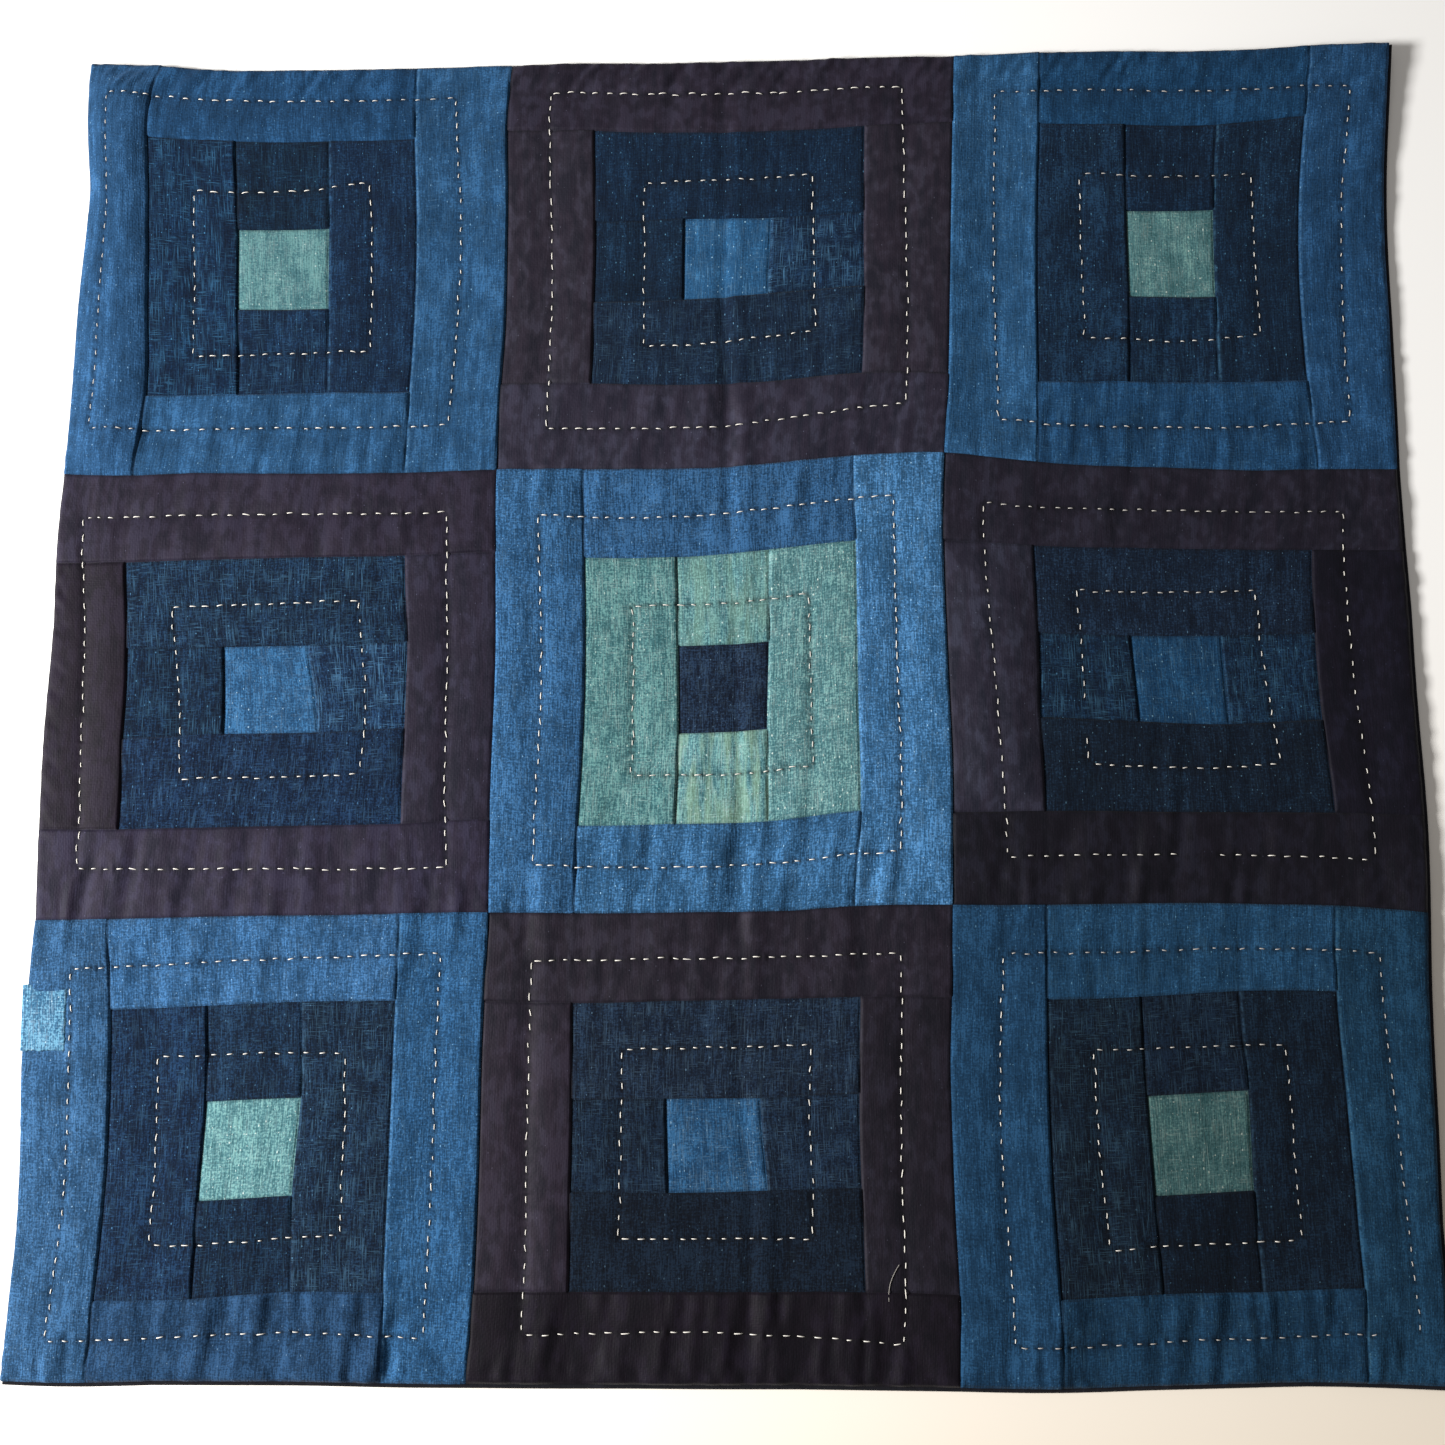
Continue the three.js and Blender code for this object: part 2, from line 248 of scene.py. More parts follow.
        "outer_stitches": [(1, -1), (-1.5, -1), (-2.5, -1.5), (1.5, 1)],
        "inner_stitches": [(1, 0.5), (0, 0.5), (-1, 0.5), (0, 1)],
        "counts": {"outer": [27, 27, 24, 24], "inner": [14, 12, 14, 13]},
        "thread": {"outer": (2.01, 0.0), "inner": (1.78, 0.15)},
        "lots_and_light": {
            "outer": (0.66, 0.66, 0.72), "outer_top": (0.61, 0.65, 0.68), "outer_right": (0.41, 0.44, 0.48),
            "outer_bottom": (0.21, 0.17, 0.25), "inner": (0.86, 0.66, 0.62),
            "inner_left": (0.57, 0.46, 0.44), "inner_bottom": (0.52, 0.37, 0.33),
            "inner_top": (1.07, 0.74, 0.66), "square": (0.69, 0.67, 0.66),
        },
    },
    {
        "name": "bottom_right", "column": 2, "row": 2, "cloths": CORNER, "coarse": 0.8,
        "slubs": (0.8, 0.2, 0.9, 0.1),
        "ring": [(-0.5, 1.5), (0.5, 4.5), (4.5, 4), (1.5, -0.5)],
        "square": [(0, 1.5), (1.5, 3.5), (2, 3), (1.5, 1)],
        "strip_ends": [0, 1.5, 4, 1.5],
        "inner_ends": [(-1, 2.5), (0, 4.5), (3.5, 2.5), (3, 1.5)],
        "bows": {"ring": [-1, 0], "outer": [0, 0, -0.2, -1], "inner": [0, 0.3, 0, -0.3]},
        "outer_stitches": [(1, -0.5), (-1, -0.5), (4, 1), (1.5, -1)],
        "inner_stitches": [(-0.5, -0.5), (-2.5, -2), (-2.5, 0), (0.5, -0.5)],
        "counts": {"outer": [24, 25, 26, 28], "inner": [13, 13, 12, 14]},
        "thread": {"outer": (1.61, 0.35), "inner": (1.61, 0.35)},
        "lots_and_light": {
            "outer": (0.43, 0.52, 0.54), "outer_top": (0.5, 0.62, 0.63), "outer_right": (0.33, 0.43, 0.42),
            "outer_bottom": (0.27, 0.36, 0.37), "inner": (0.49, 0.44, 0.4),
            "inner_bottom": (0.47, 0.43, 0.39), "inner_top": (0.41, 0.35, 0.34), "square": (0.5, 0.46, 0.45),
        },
    },
]
CORNERS_OF = {"ring": (1, 4), "square": (2, 3), "outer_stitches": (0.5, 4.5), "inner_stitches": (1.5, 3.5)}

# The frame says where the pattern's middle lies: the tab's box has its fold at the left and a known width.
tab_low, tab_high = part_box("side_tab")
MIDDLE_X = tab_low[0] / MM + HALF + TAB["past"]
MIDDLE_Y = (tab_low[1] + tab_high[1]) / 2 / MM - TAB["middle"]


def in_frame(x, y, z):
    """Pattern millimetres as rows of frame metres."""
    return np.stack([x + MIDDLE_X, y + MIDDLE_Y, z], axis=-1).reshape(-1, 3) * MM


# Camera: nearly overhead, a little below the middle, as the photograph was taken.
EYE = (24.7, -116.1, 586.3)
LEAN = (9.94, 2.33, 0.36)
SENSOR = 36.0
FRAME_PIXELS = 1445
FOCAL_PIXELS = 1800


def place_camera():
    data = bpy.data.cameras.new("overhead")
    data.sensor_width = SENSOR
    data.lens = SENSOR * FOCAL_PIXELS / FRAME_PIXELS
    camera = bpy.data.objects.new("overhead", data)
    camera.location = Vector(in_frame(*map(np.array, EYE))[0])
    camera.rotation_euler = [math.radians(angle) for angle in LEAN]
    bpy.context.scene.collection.objects.link(camera)
    bpy.context.scene.camera = camera


place_camera()


# How the sewing lies.
def smooth(low, high, value):
    share = np.clip((value - low) / (high - low), 0, 1)
    return share * share * (3 - 2 * share)


def bell(distance, width):
    return np.exp(-((distance / width) ** 2))


def uneven(x, y, cell, seed):
    """Smooth uneven values from -1 to 1 over cells of the given width and height in mm."""
    size = 97
    knots = np.random.default_rng(seed).uniform(-1, 1, (size, size))
    across, up = x / cell[0] + size, y / cell[1] + size
    column, row = np.floor(across).astype(int), np.floor(up).astype(int)
    f, g = smooth(0, 1, across - column), smooth(0, 1, up - row)
    near = knots[row % size, column % size] * (1 - f) + knots[row % size, (column + 1) % size] * f
    far = knots[(row + 1) % size, column % size] * (1 - f) + knots[(row + 1) % size, (column + 1) % size] * f
    return near * (1 - g) + far * g


def carried(spots, shifts):
    """A function that carries shifts known at some spots to any others, as a thin bent plate would."""
    spots = np.array(spots, float) / BLOCK
    count = len(spots)

    def pull(x, y):
        gap = np.hypot(x[:, None] - spots[:, 0], y[:, None] - spots[:, 1])
        return gap * gap * np.log(gap + 1e-12)

    flat = np.column_stack([np.ones(count), spots])
    system = np.block([[pull(*spots.T), flat], [flat.T, np.zeros((3, 3))]])
    weights = np.linalg.solve(system, np.append(np.array(shifts, float), [0, 0, 0]))

    def shift(x, y):
        rows = np.column_stack([x.ravel(), y.ravel()]) / BLOCK
        plane = weights[count] + rows @ weights[count + 1 :]
        return (pull(*rows.T) @ weights[:count] + plane).reshape(x.shape)

    return shift


def upper_left(block):
    """The upper left corner of a block on the true pattern."""
    return -HALF + BLOCK * block["column"], HALF - BLOCK * block["row"]


def spot_of(block, across, down):
    """The true place of a spot that lies so many strips across and down a block."""
    left, top = upper_left(block)
    return left + STRIP * across, top - STRIP * down


def corner_spots(block, key):
    """The four true places of a seam square's or stitch square's corners, upper left first, clockwise."""
    near, far = CORNERS_OF[key]
    return [spot_of(block, *corner) for corner in ((near, near), (far, near), (far, far), (near, far))]


# Where the ends of a block's long strips and of its inner ring's long strips lie, in strips, and which
# corners of the ring the two bowed sides join.
ENDS_OF = {
    "upright": {
        "strip_ends": [(1, 0), (4, 0), (4, 5), (1, 5)], "inner_ends": [(2, 1), (3, 1), (3, 4), (2, 4)],
        "bowed": [(0, 3), (1, 2)],
    },
    "level": {
        "strip_ends": [(0, 1), (5, 1), (5, 4), (0, 4)], "inner_ends": [(1, 2), (4, 2), (4, 3), (1, 3)],
        "bowed": [(0, 1), (3, 2)],
    },
}
BOW_AT_THIRDS = 8 / 9


def sewn_shifts():
    """Two functions: how far the sewing has moved any pattern point to the right, and how far up."""
    right, up = [], []

    def stray(spot, dx, dy):
        right.append((spot, dx))
        up.append((spot, dy))

    for line in UPRIGHT_LINES:
        right += [((line["at"], y), off) for y, off in zip(STATIONS, line["stray"])]
    for line in LEVEL_LINES:
        up += [((x, line["at"]), off) for x, off in zip(STATIONS, line["stray"])]
    for block in BLOCKS:
        for key in ("ring", "square"):
            for spot, off in zip(corner_spots(block, key), block[key]):
                stray(spot, *off)
        upright = block["cloths"]["long"] == "upright"
        ends = ENDS_OF[block["cloths"]["long"]]
        for place, off in zip(ends["inner_ends"], block["inner_ends"]):
            stray(spot_of(block, *place), *off)
        for across, down, dx, dy in block.get("also", []):
            stray(spot_of(block, across, down), dx, dy)
        ring, spots = np.array(block["ring"]), np.array(corner_spots(block, "ring"))
        for (first, last), bow in zip(ends["bowed"], block["bows"]["ring"]):
            for share in (1 / 3, 2 / 3):
                spot = tuple(spots[first] + share * (spots[last] - spots[first]))
                off = ring[first] + share * (ring[last] - ring[first])
                stray(spot, *(off + BOW_AT_THIRDS * bow * np.array([upright, not upright])))
        known = right if upright else up
        for place, off in zip(ends["strip_ends"], block["strip_ends"]):
            known.append((spot_of(block, *place), off))
    return [carried(*zip(*known)) for known in (right, up)]


shift_right, shift_up = sewn_shifts()


# Where the right edge stands a little off the floor: its middle, its reach along the edge and inwards, and
# its rise.
RIGHT_LIFT = {"middle": -110, "along": 90, "inwards": 55, "rise": 1.0}


def lie(x, y):
    """Height of the cover's underside over the floor: nought but at its curls, its right edge and over the
    tab."""
    height = RIGHT_LIFT["rise"] * bell(y - RIGHT_LIFT["middle"], RIGHT_LIFT["along"])
    height = height * (1 - smooth(0, RIGHT_LIFT["inwards"], HALF - x))
    for curl in CURLS:
        share = np.clip(1 - np.hypot(x - curl["at"][0], y - curl["at"][1]) / curl["reach"], 0, 1)
        height = np.maximum(height, curl["rise"] * share**2)
    past_tab = np.maximum(x + HALF - TAB["top_leaf"], np.abs(y - TAB["middle"]) - TAB["width"] / 2)
    return np.maximum(height, (TAB["thick"] + GAP) * (1 - smooth(*TAB_SLOPE, past_tab)))


# Patches of a block, in strips from its upper left corner: where each lies, and the side that is sewn to
# what was there before it. Its seam allowances are pressed under that side, so it stands a ledge above its
# neighbour there.
UPRIGHT_PATCHES = {
    "outer_left": ((0, 1, 0, 5), "right"),
    "outer_right": ((4, 5, 0, 5), "left"),
    "outer_top": ((1, 4, 0, 1), "bottom"),
    "outer_bottom": ((1, 4, 4, 5), "top"),
    "inner_left": ((1, 2, 1, 4), "right"),
    "inner_right": ((3, 4, 1, 4), "left"),
    "inner_top": ((2, 3, 1, 2), "bottom"),
    "inner_bottom": ((2, 3, 3, 4), "top"),
    "square": ((2, 3, 2, 3), None),
}
PATCH_NAMES = list(UPRIGHT_PATCHES)


def turned_patches():
    """The patches of a block with long level strips: the upright ones with across and down changed over."""
    turned = {"left": "top", "right": "bottom", "top": "left", "bottom": "right"}
    found = {}
    for name, ((left, right, top, bottom), sewn) in UPRIGHT_PATCHES.items():
        ring, _, side = name.partition("_")
        found[f"{ring}_{turned[side]}" if side else name] = ((top, bottom, left, right), turned.get(sewn))
    return {name: found[name] for name in PATCH_NAMES}


PATCHES_OF = {"upright": UPRIGHT_PATCHES, "level": turned_patches()}


def patches_of(block, u, v):
    """Each patch of a block: its name, its sewn side, which of its sides lie on the block's edge, and for
    each spot how far in it lies from every side and from the nearest, less than 0 outside the patch."""
    for name, ((left, right, top, bottom), sewn) in PATCHES_OF[block["cloths"]["long"]].items():
        inwards = {"left": u - left * STRIP, "right": right * STRIP - u}
        inwards |= {"top": v - top * STRIP, "bottom": bottom * STRIP - v}
        on_edge = {"left": left == 0, "right": right == 5, "top": top == 0, "bottom": bottom == 5}
        depth = np.min(list(inwards.values()), axis=0)
        yield {"name": name, "sewn": sewn, "on_edge": on_edge, "inwards": inwards, "depth": depth}


def patch_at(block, u, v):
    """The number of the patch in which each spot of a block lies."""
    found = np.zeros(u.shape, int)
    for patch in patches_of(block, u, v):
        found[patch["depth"] >= 0] = PATCH_NAMES.index(patch["name"])
    return found


# Relief of the front, in mm.
LEDGE = 0.5
LEFT_LEDGE = 0.32
LEDGE_STEEP = 0.6
ALLOWANCE = 7.5
ALLOWANCE_FADES = (-3, 9)
SEAM_GROOVE = 0.35
GROOVE_WIDE = 0.6
HOLE_DEPTH = 0.3
TAB_PRESSES = (0.6, 4)
PUFF = {"outer": 0.2, "inner": 0.16, "square": 0.1}
ROW_TROUGH = 0.11
STITCH_PRESS = 0.25
EDGE_ROLL = 0.5
EDGE_PUCKER = 0.35
TOP_PUCKER = 0.75
DEEPEST = 1.05

# Blue blocks lie over their neighbours on all sides, and plain ones have a ledge only where the cover ends.
COVER_BORDER = (("right", "column", 2), ("top", "row", 0), ("bottom", "row", 2))

# How strong the painted shade in the folds of seams is, how much of it falls on which side of a patch,
# and how wide it is in mm.
SEAM_SHADE_STRENGTH = 0.85
SEAM_SHADE = {"left": 1.0, "top": 0.45, "bottom": 0.35}
SEAM_SHADE_WIDE = 0.42

# The folds rubbed pale with a painted highlight lie so far in from a seam and are so wide, in mm.
WORN_LIT_IN = 0.5
WORN_LIT_WIDE = 0.4

# The share of a strip over which a hump dies away at either end.
HUMP_END = 0.4


def ledge(inwards):
    """Height of a strip over the seam allowances under its sewn side, by the distance in from that side."""
    fades = [ALLOWANCE + past for past in ALLOWANCE_FADES]
    return LEDGE * smooth(0, LEDGE_STEEP, inwards) * (1 - smooth(*fades, inwards))


def ledges(block, u, v):
    """The ledge of every patch at its sewn side, and those along the edge of the block."""
    height = np.zeros_like(u)
    for patch in patches_of(block, u, v):
        sewn = patch["sewn"]
        if sewn:
            raised = (LEFT_LEDGE if sewn == "left" else 1) * ledge(patch["inwards"][sewn])
            height = np.maximum(height, np.where(patch["depth"] >= 0, raised, 0))
    edges = {"left": u, "right": BLOCK - u, "top": v, "bottom": BLOCK - v}
    if block["cloths"]["outer"] == "aubergine":
        edges = {side: edges[side] for side, line, number in COVER_BORDER if block[line] == number}
    for inwards in edges.values():
        height = np.maximum(height, ledge(inwards))
    return height


def from_seam(block, u, v):
    """Distance from each spot to the nearest side of its own patch."""
    return np.maximum(0, np.max([patch["depth"] for patch in patches_of(block, u, v)], axis=0))


def painted_seam_shade(block, u, v):
    """Painted shade in the fold of a seam, on its lower side, most where that faces right, away from the
    window.
    """
    painted_shade = np.zeros_like(u)
    over = block["cloths"]["outer"] == "blue"
    for patch in patches_of(block, u, v):
        for side, share in SEAM_SHADE.items():
            if side != patch["sewn"] and not (over and patch["on_edge"][side]):
                shade = share * bell(patch["inwards"][side], SEAM_SHADE_WIDE)
                painted_shade = np.maximum(painted_shade, np.where(patch["depth"] >= 0, shade, 0))
    return SEAM_SHADE_STRENGTH * painted_shade


def worn_and_lit_folds(block, u, v):
    """The folded edges of upright seams that face left, towards the window, where the dye has rubbed pale,
    with a painted highlight on them.
    """
    worn_and_lit = np.zeros_like(u)
    for patch in patches_of(block, u, v):
        if patch["sewn"] == "left":
            fold = bell(patch["inwards"]["left"] - WORN_LIT_IN, WORN_LIT_WIDE)
            worn_and_lit = np.maximum(worn_and_lit, np.where(patch["depth"] >= 0, fold, 0))
    return block.get("worn_and_lit", 1) * worn_and_lit


def ring_at(u, v):
    """How many strips each spot lies from the middle of its block: under 0.5 in the square, over 1.5 in the
    outer ring."""
    return np.maximum(np.abs(u - BLOCK / 2), np.abs(v - BLOCK / 2)) / STRIP


def puffed(block, u, v):
    """Soft swelling of the cloth between its seams and rows of stitches, or one hump over a whole strip."""
    ring = ring_at(u, v)
    height = np.where(ring > 1.5, PUFF["outer"], PUFF["inner"])
    height = height * np.abs(np.sin(2 * np.pi * ring))
    height = np.where(ring < 0.5, PUFF["square"] * (1 - (2 * ring) ** 4), height)
    humps = block.get("humps", {})
    for patch in patches_of(block, u, v):
        if patch["name"] in humps:
            left, top, bottom = (patch["inwards"][side] / STRIP for side in ("left", "top", "bottom"))
            hump = humps[patch["name"]] * np.sin(np.pi * left)
            hump = hump * smooth(0, HUMP_END, top) * smooth(0, HUMP_END, bottom)
            height = np.where(patch["depth"] >= 0, hump, height)
    return height


# Puckers run across the level strips: how high they stand in each ring, and in the lowest strips of the
# cover.
PUCKERS = {"outer_top": 0.36, "outer_bottom": 0.6, "inner_top": 0.15, "inner_bottom": 0.32}
PLAIN_PUCKER = 0.1
BOTTOM_EDGE_PUCKER = 0.85


def puckered(block, u, v, x, y):
    """Small puckers: across the level strips high and narrow, and over the upright ones low and both ways."""
    height = np.full(u.shape, PLAIN_PUCKER)
    ring = ring_at(u, v)
    level = smooth(-6, 6, np.abs(v - BLOCK / 2) - np.abs(u - BLOCK / 2))
    for name, rise in PUCKERS.items():
        in_ring = ring > 1.5 if name.startswith("outer") else (ring <= 1.5) & (ring > 0.5)
        in_half = v < BLOCK / 2 if name.endswith("top") else v >= BLOCK / 2
        if name == "outer_bottom" and block["row"] == 2:
            rise = BOTTOM_EDGE_PUCKER
        height = np.where(in_ring & in_half, PLAIN_PUCKER + (rise - PLAIN_PUCKER) * level, height)
    upright = uneven(x - 0.15 * y, y, (5, 30), 11) + 0.5 * uneven(x, y, (3.2, 18), 12)
    across = uneven(x, y, (30, 7), 13)
    return block.get("puckers", 1) * height * (upright * (0.35 + 0.65 * level) + 0.6 * across * (1 - level))


# The fold down the middle from lying folded in a cupboard, and a softer one beside it: where each crosses
# the middle, how it leans, its depth and width, and the stretches where it is deeper: their middle, their
# reach and how much.
CREASE_WANDERS = 0.6
CREASES = [
    {
        "x": 3.9, "lean": -0.033, "depth": 0.75, "width": 2.2, "seed": 21,
        "deepest": [(-66, 14, 1.3), (62, 10, 1.0), (112, 26, 0.7)],
    },
    {"x": -62, "lean": -0.01, "depth": 0.4, "width": 3, "seed": 22, "deepest": []},
]


def creased(x, y):
    """A narrow valley along each crease, with a low ridge to the right of it."""
    height = np.zeros_like(x)
    for crease in CREASES:
        wander = CREASE_WANDERS * uneven(y, y * 0, (40, 10), crease["seed"])
        line = crease["x"] + crease["lean"] * y + wander
        depth = crease["depth"] * (0.7 + 0.3 * uneven(y, y * 0, (25, 10), crease["seed"] + 5))
        for middle, reach, more in crease["deepest"]:
            depth = depth + more * bell(y - middle, reach)
        height -= depth * bell(x - line, crease["width"])
        height += 0.5 * depth * bell(x - line - 2.2 * crease["width"], 1.6 * crease["width"])
    return height


def rolled_edge(x, y):
    """The front rolls down to its seam with the back all round the cover, and the seam draws slanting
    puckers in it."""
    inwards = HALF - np.maximum(np.abs(x), np.abs(y))
    along = np.where(np.abs(x) > np.abs(y), y, x)
    drawn = EDGE_PUCKER * uneven(along + 0.5 * inwards, inwards, (2.6, 6), 17) * (1 - smooth(1, 9, inwards))
    at_top = (y > np.abs(x)) * (1 - smooth(9, 17, inwards)) * smooth(-1, 3, inwards)
    drawn = drawn + TOP_PUCKER * at_top * uneven(x + 0.6 * (HALF - y), y, (2.8, 40), 19)
    return drawn - EDGE_ROLL * (1 - smooth(0, 2.2, inwards)) ** 2


# Running stitch.
THREAD_THICK = 0.34

# Stretches of a row, as shares of its side taken clockwise (side 0 top, 1 right, 2 bottom, 3 left), whose
# stitches have sunk so many mm into the cloth or come out, and are so much soiled.
OUT = 9
STRETCH_COLUMNS = ("block", "ring", "side", "from", "to", "sink", "soil")
STRETCHES = [
    ("top_left", "outer", 3, 0, 1, 0.16, 0.55),
    ("top_left", "outer", 0, 0.8, 1, 0.18, 0.6),
    ("top_left", "outer", 2, 0.86, 1, 0.2, 0.6),
    ("top_left", "inner", 3, 0, 1, 0.12, 0.2),
    ("top_middle", "inner", 3, 0, 1, 0.1, 0.2),
    ("top_middle", "inner", 0, 0, 1, 0.1, 0.2),
    ("top_right", "outer", 0, 0, 1, 0.12, 0.65),
    ("top_right", "inner", 0, 0, 1, 0.12, 0.7),
    ("middle", "inner", 0, 0, 1, 0.03, 0.3),
    ("middle", "inner", 1, 0, 1, 0.05, 0.35),
    ("middle", "inner", 3, 0, 1, 0.05, 0.35),
    ("middle_right", "outer", 0, 0, 1, 0.08, 0.65),
    ("middle_right", "inner", 0, 0, 1, 0.08, 0.65),
    ("middle_right", "outer", 2, 0.455, 0.54, OUT, 0),
    ("middle_right", "inner", 3, 0.14, 0.32, OUT, 0),
    ("bottom_right", "outer", 2, 0.02, 0.1, OUT, 0),
    ("bottom_right", "outer", 0, 0, 1, 0.1, 0.8),
    ("bottom_right", "outer", 1, 0, 1, 0.12, 0.75),
    ("bottom_right", "outer", 2, 0, 1, 0.1, 0.8),
    ("bottom_right", "inner", 0, 0, 1, 0.08, 0.7),
    ("bottom_right", "inner", 1, 0, 1, 0.1, 0.55),
]
STRETCHES = [dict(zip(STRETCH_COLUMNS, row)) for row in STRETCHES]

# How much one hand-made stitch differs from the next: along the row as a share of its room, aside in mm, in
# its turn, in its length as a share, and in its soil.
HAND = {"along": 0.07, "aside": 0.16, "turn": 0.09, "length": 0.17, "soil": (-0.3, 0.25)}


def stitches_of(block, draw):
    """Each stitch of a block: its middle on the pattern, its direction and its length."""
    found = []
    for ring in ("outer", "inner"):
        key = ring + "_stitches"
        corners = [np.add(spot, off) for spot, off in zip(corner_spots(block, key), block[key])]
        bows = block["bows"][ring]
        long, dull = block["thread"][ring]
        for side in range(4):
            start, end = corners[side], corners[(side + 1) % 4]
            run = end - start
            count = block["counts"][ring][side]
            along = run / np.hypot(*run)
            outwards = np.array([(0, 1), (1, 0), (0, 1), (1, 0)][side])
            for step in range(count):
                share = (step + 0.5 + draw.normal(0, HAND["along"])) / count
                off = bows[side] * math.sin(math.pi * share) + draw.normal(0, HAND["aside"])
                middle = start + run * share + off * outwards
                turn = math.atan2(along[1], along[0]) + draw.normal(0, HAND["turn"])
                length = long * (1 + draw.normal(0, HAND["length"]))
                here = {"block": block["name"], "ring": ring, "side": side}
                stretch = [s for s in STRETCHES if here.items() <= s.items() and s["from"] < share < s["to"]]
                sink = stretch[0]["sink"] if stretch else 0.0
                soil = max(dull + draw.uniform(*HAND["soil"]), stretch[0]["soil"] if stretch else 0.0)
                stitch = {"middle": middle, "turn": turn, "length": length, "sink": sink, "soil": soil}
                found += [stitch] if sink < OUT else []
    return found


# The dent under a stitch, in mm: how wide it is, how far before and past the stitch's end it fades, how
# wide and long the shallow trough round it is, and how far past the end its holes lie and how wide they
# are.
DENT = {
    "wide": 1.4, "fades": (-0.4, 1.2), "trough": (3.2, 3.4), "hole_past": 0.25, "hole_wide": 0.75, "reach": 8,
}


def pressed(stitches, x, y):
    """How far the stitches press the cloth down, and how much painted shade darkens the holes at their ends.
    """
    down, hole_and_shade = np.zeros_like(x), np.zeros_like(x)
    for stitch in stitches:
        dx, dy = x - stitch["middle"][0], y - stitch["middle"][1]
        near = np.abs(dx) + np.abs(dy) < DENT["reach"]
        dx, dy = dx[near], dy[near]
        along = dx * math.cos(stitch["turn"]) + dy * math.sin(stitch["turn"])
        aside = -dx * math.sin(stitch["turn"]) + dy * math.cos(stitch["turn"])
        past = np.abs(along) - stitch["length"] / 2
        down[near] += STITCH_PRESS * bell(aside, DENT["wide"]) * (1 - smooth(*DENT["fades"], past))
        down[near] += ROW_TROUGH * bell(aside, DENT["trough"][0]) * bell(along, DENT["trough"][1])
        open_hole = bell(np.hypot(past - DENT["hole_past"], aside), DENT["hole_wide"])
        hole_and_shade[near] = np.maximum(hole_and_shade[near], open_hole)
    return down, hole_and_shade


def under_tab(x, y):
    """Distance from each spot to the part of the cover that the tab's top leaf holds down, less than 0
    inside it."""
    return np.maximum(x + HALF - TAB["top_leaf"], np.abs(y - TAB["middle"] - TAB["up"]) - TAB["width"] / 2)


def front_height(block, x, y, stitches):
    """Height of the front's face over the floor, and the painted shade of the stitch holes."""
    left, top = upper_left(block)
    u, v = x - left, top - y
    down, hole_and_shade = pressed(stitches, x, y)
    relief = ledges(block, u, v) + puffed(block, u, v) + puckered(block, u, v, x, y)
    relief = relief + creased(x, y) + rolled_edge(x, y)
    relief = relief * smooth(*TAB_PRESSES, under_tab(x, y))
    relief = relief - SEAM_GROOVE * bell(from_seam(block, u, v), GROOVE_WIDE) - down - HOLE_DEPTH * hole_and_shade
    relief = np.where(relief < 0, DEEPEST * np.tanh(relief / DEEPEST), relief)
    return lie(x, y) + BACK_THICK + GAP + FRONT_THICK + relief, hole_and_shade


# Meshes.
def new_mesh(name, rows, faces):
    """A mesh with smooth shading, from rows of points and the faces between them."""
    mesh = bpy.data.meshes.new(name)
    mesh.from_pydata(np.concatenate(rows).tolist(), [], faces)
    mesh.polygons.foreach_set("use_smooth", np.ones(len(faces), bool))
    mesh.update()
    return mesh


def paint(mesh, name, values):
    """A layer of values, one for each corner of each face."""
    layer = mesh.color_attributes.new(name, "FLOAT_COLOR", "CORNER")
    layer.data.foreach_set("color", np.asarray(values, np.float32).ravel())


def lay_grain(mesh, name, places):
    """The place on its cloth or thread of each corner of each face, in mm."""
    mesh.uv_layers.new(name=name).data.foreach_set("uv", np.asarray(places, np.float32).ravel())


def corner_points(mesh):
    """The number of the point at each corner of each face."""
    points = np.empty(len(mesh.loops), int)
    mesh.loops.foreach_get("vertex_index", points)
    return points


def new_piece(name, mesh, materials):
    for material in materials:
        mesh.materials.append(material)
    piece = bpy.data.objects.new(name, mesh)
    bpy.context.scene.collection.objects.link(piece)
    return piece


# The cloth's grid: how far beside each seam its closer lines lie, and how far apart its under side's lines
# are, in mm.
BESIDE_SEAM = (0.25, 0.5, 0.75, 1.4)
UNDER_STEP = 10


def cut_lines():
    """Places across a block, 1 mm apart and closer beside each seam."""
    places = set(range(BLOCK + 1))
    for seam in range(0, BLOCK + 1, STRIP):
        for aside in BESIDE_SEAM:
            places |= {seam - aside, seam + aside}
    return np.array(sorted(p for p in places if 0 <= p <= BLOCK), float)


def grid_faces(rows, columns):
    """The numbers of the points of a grid, and the faces between them."""
    numbers = np.arange(rows * columns).reshape(rows, columns)
    corners = (numbers[:-1, :-1], numbers[1:, :-1], numbers[1:, 1:], numbers[:-1, 1:])
    return numbers, np.column_stack([corner.ravel() for corner in corners]).tolist()


def rim_steps(rows, columns):
    """Places round a grid, anticlockwise from the upper left, rows counted downwards."""
    bottom, right = rows - 1, columns - 1
    steps = [(row, 0) for row in range(bottom)]
    steps += [(bottom, column) for column in range(right)]
    steps += [(row, right) for row in range(bottom, 0, -1)]
    return steps + [(0, column) for column in range(right, 0, -1)]


def rim_faces(upper, lower, rim):
    """Faces round the rim that join a sheet's under side to its face."""
    return [[lower[p], lower[q], upper[q], upper[p]] for p, q in zip(rim, rim[1:] + rim[:1])]


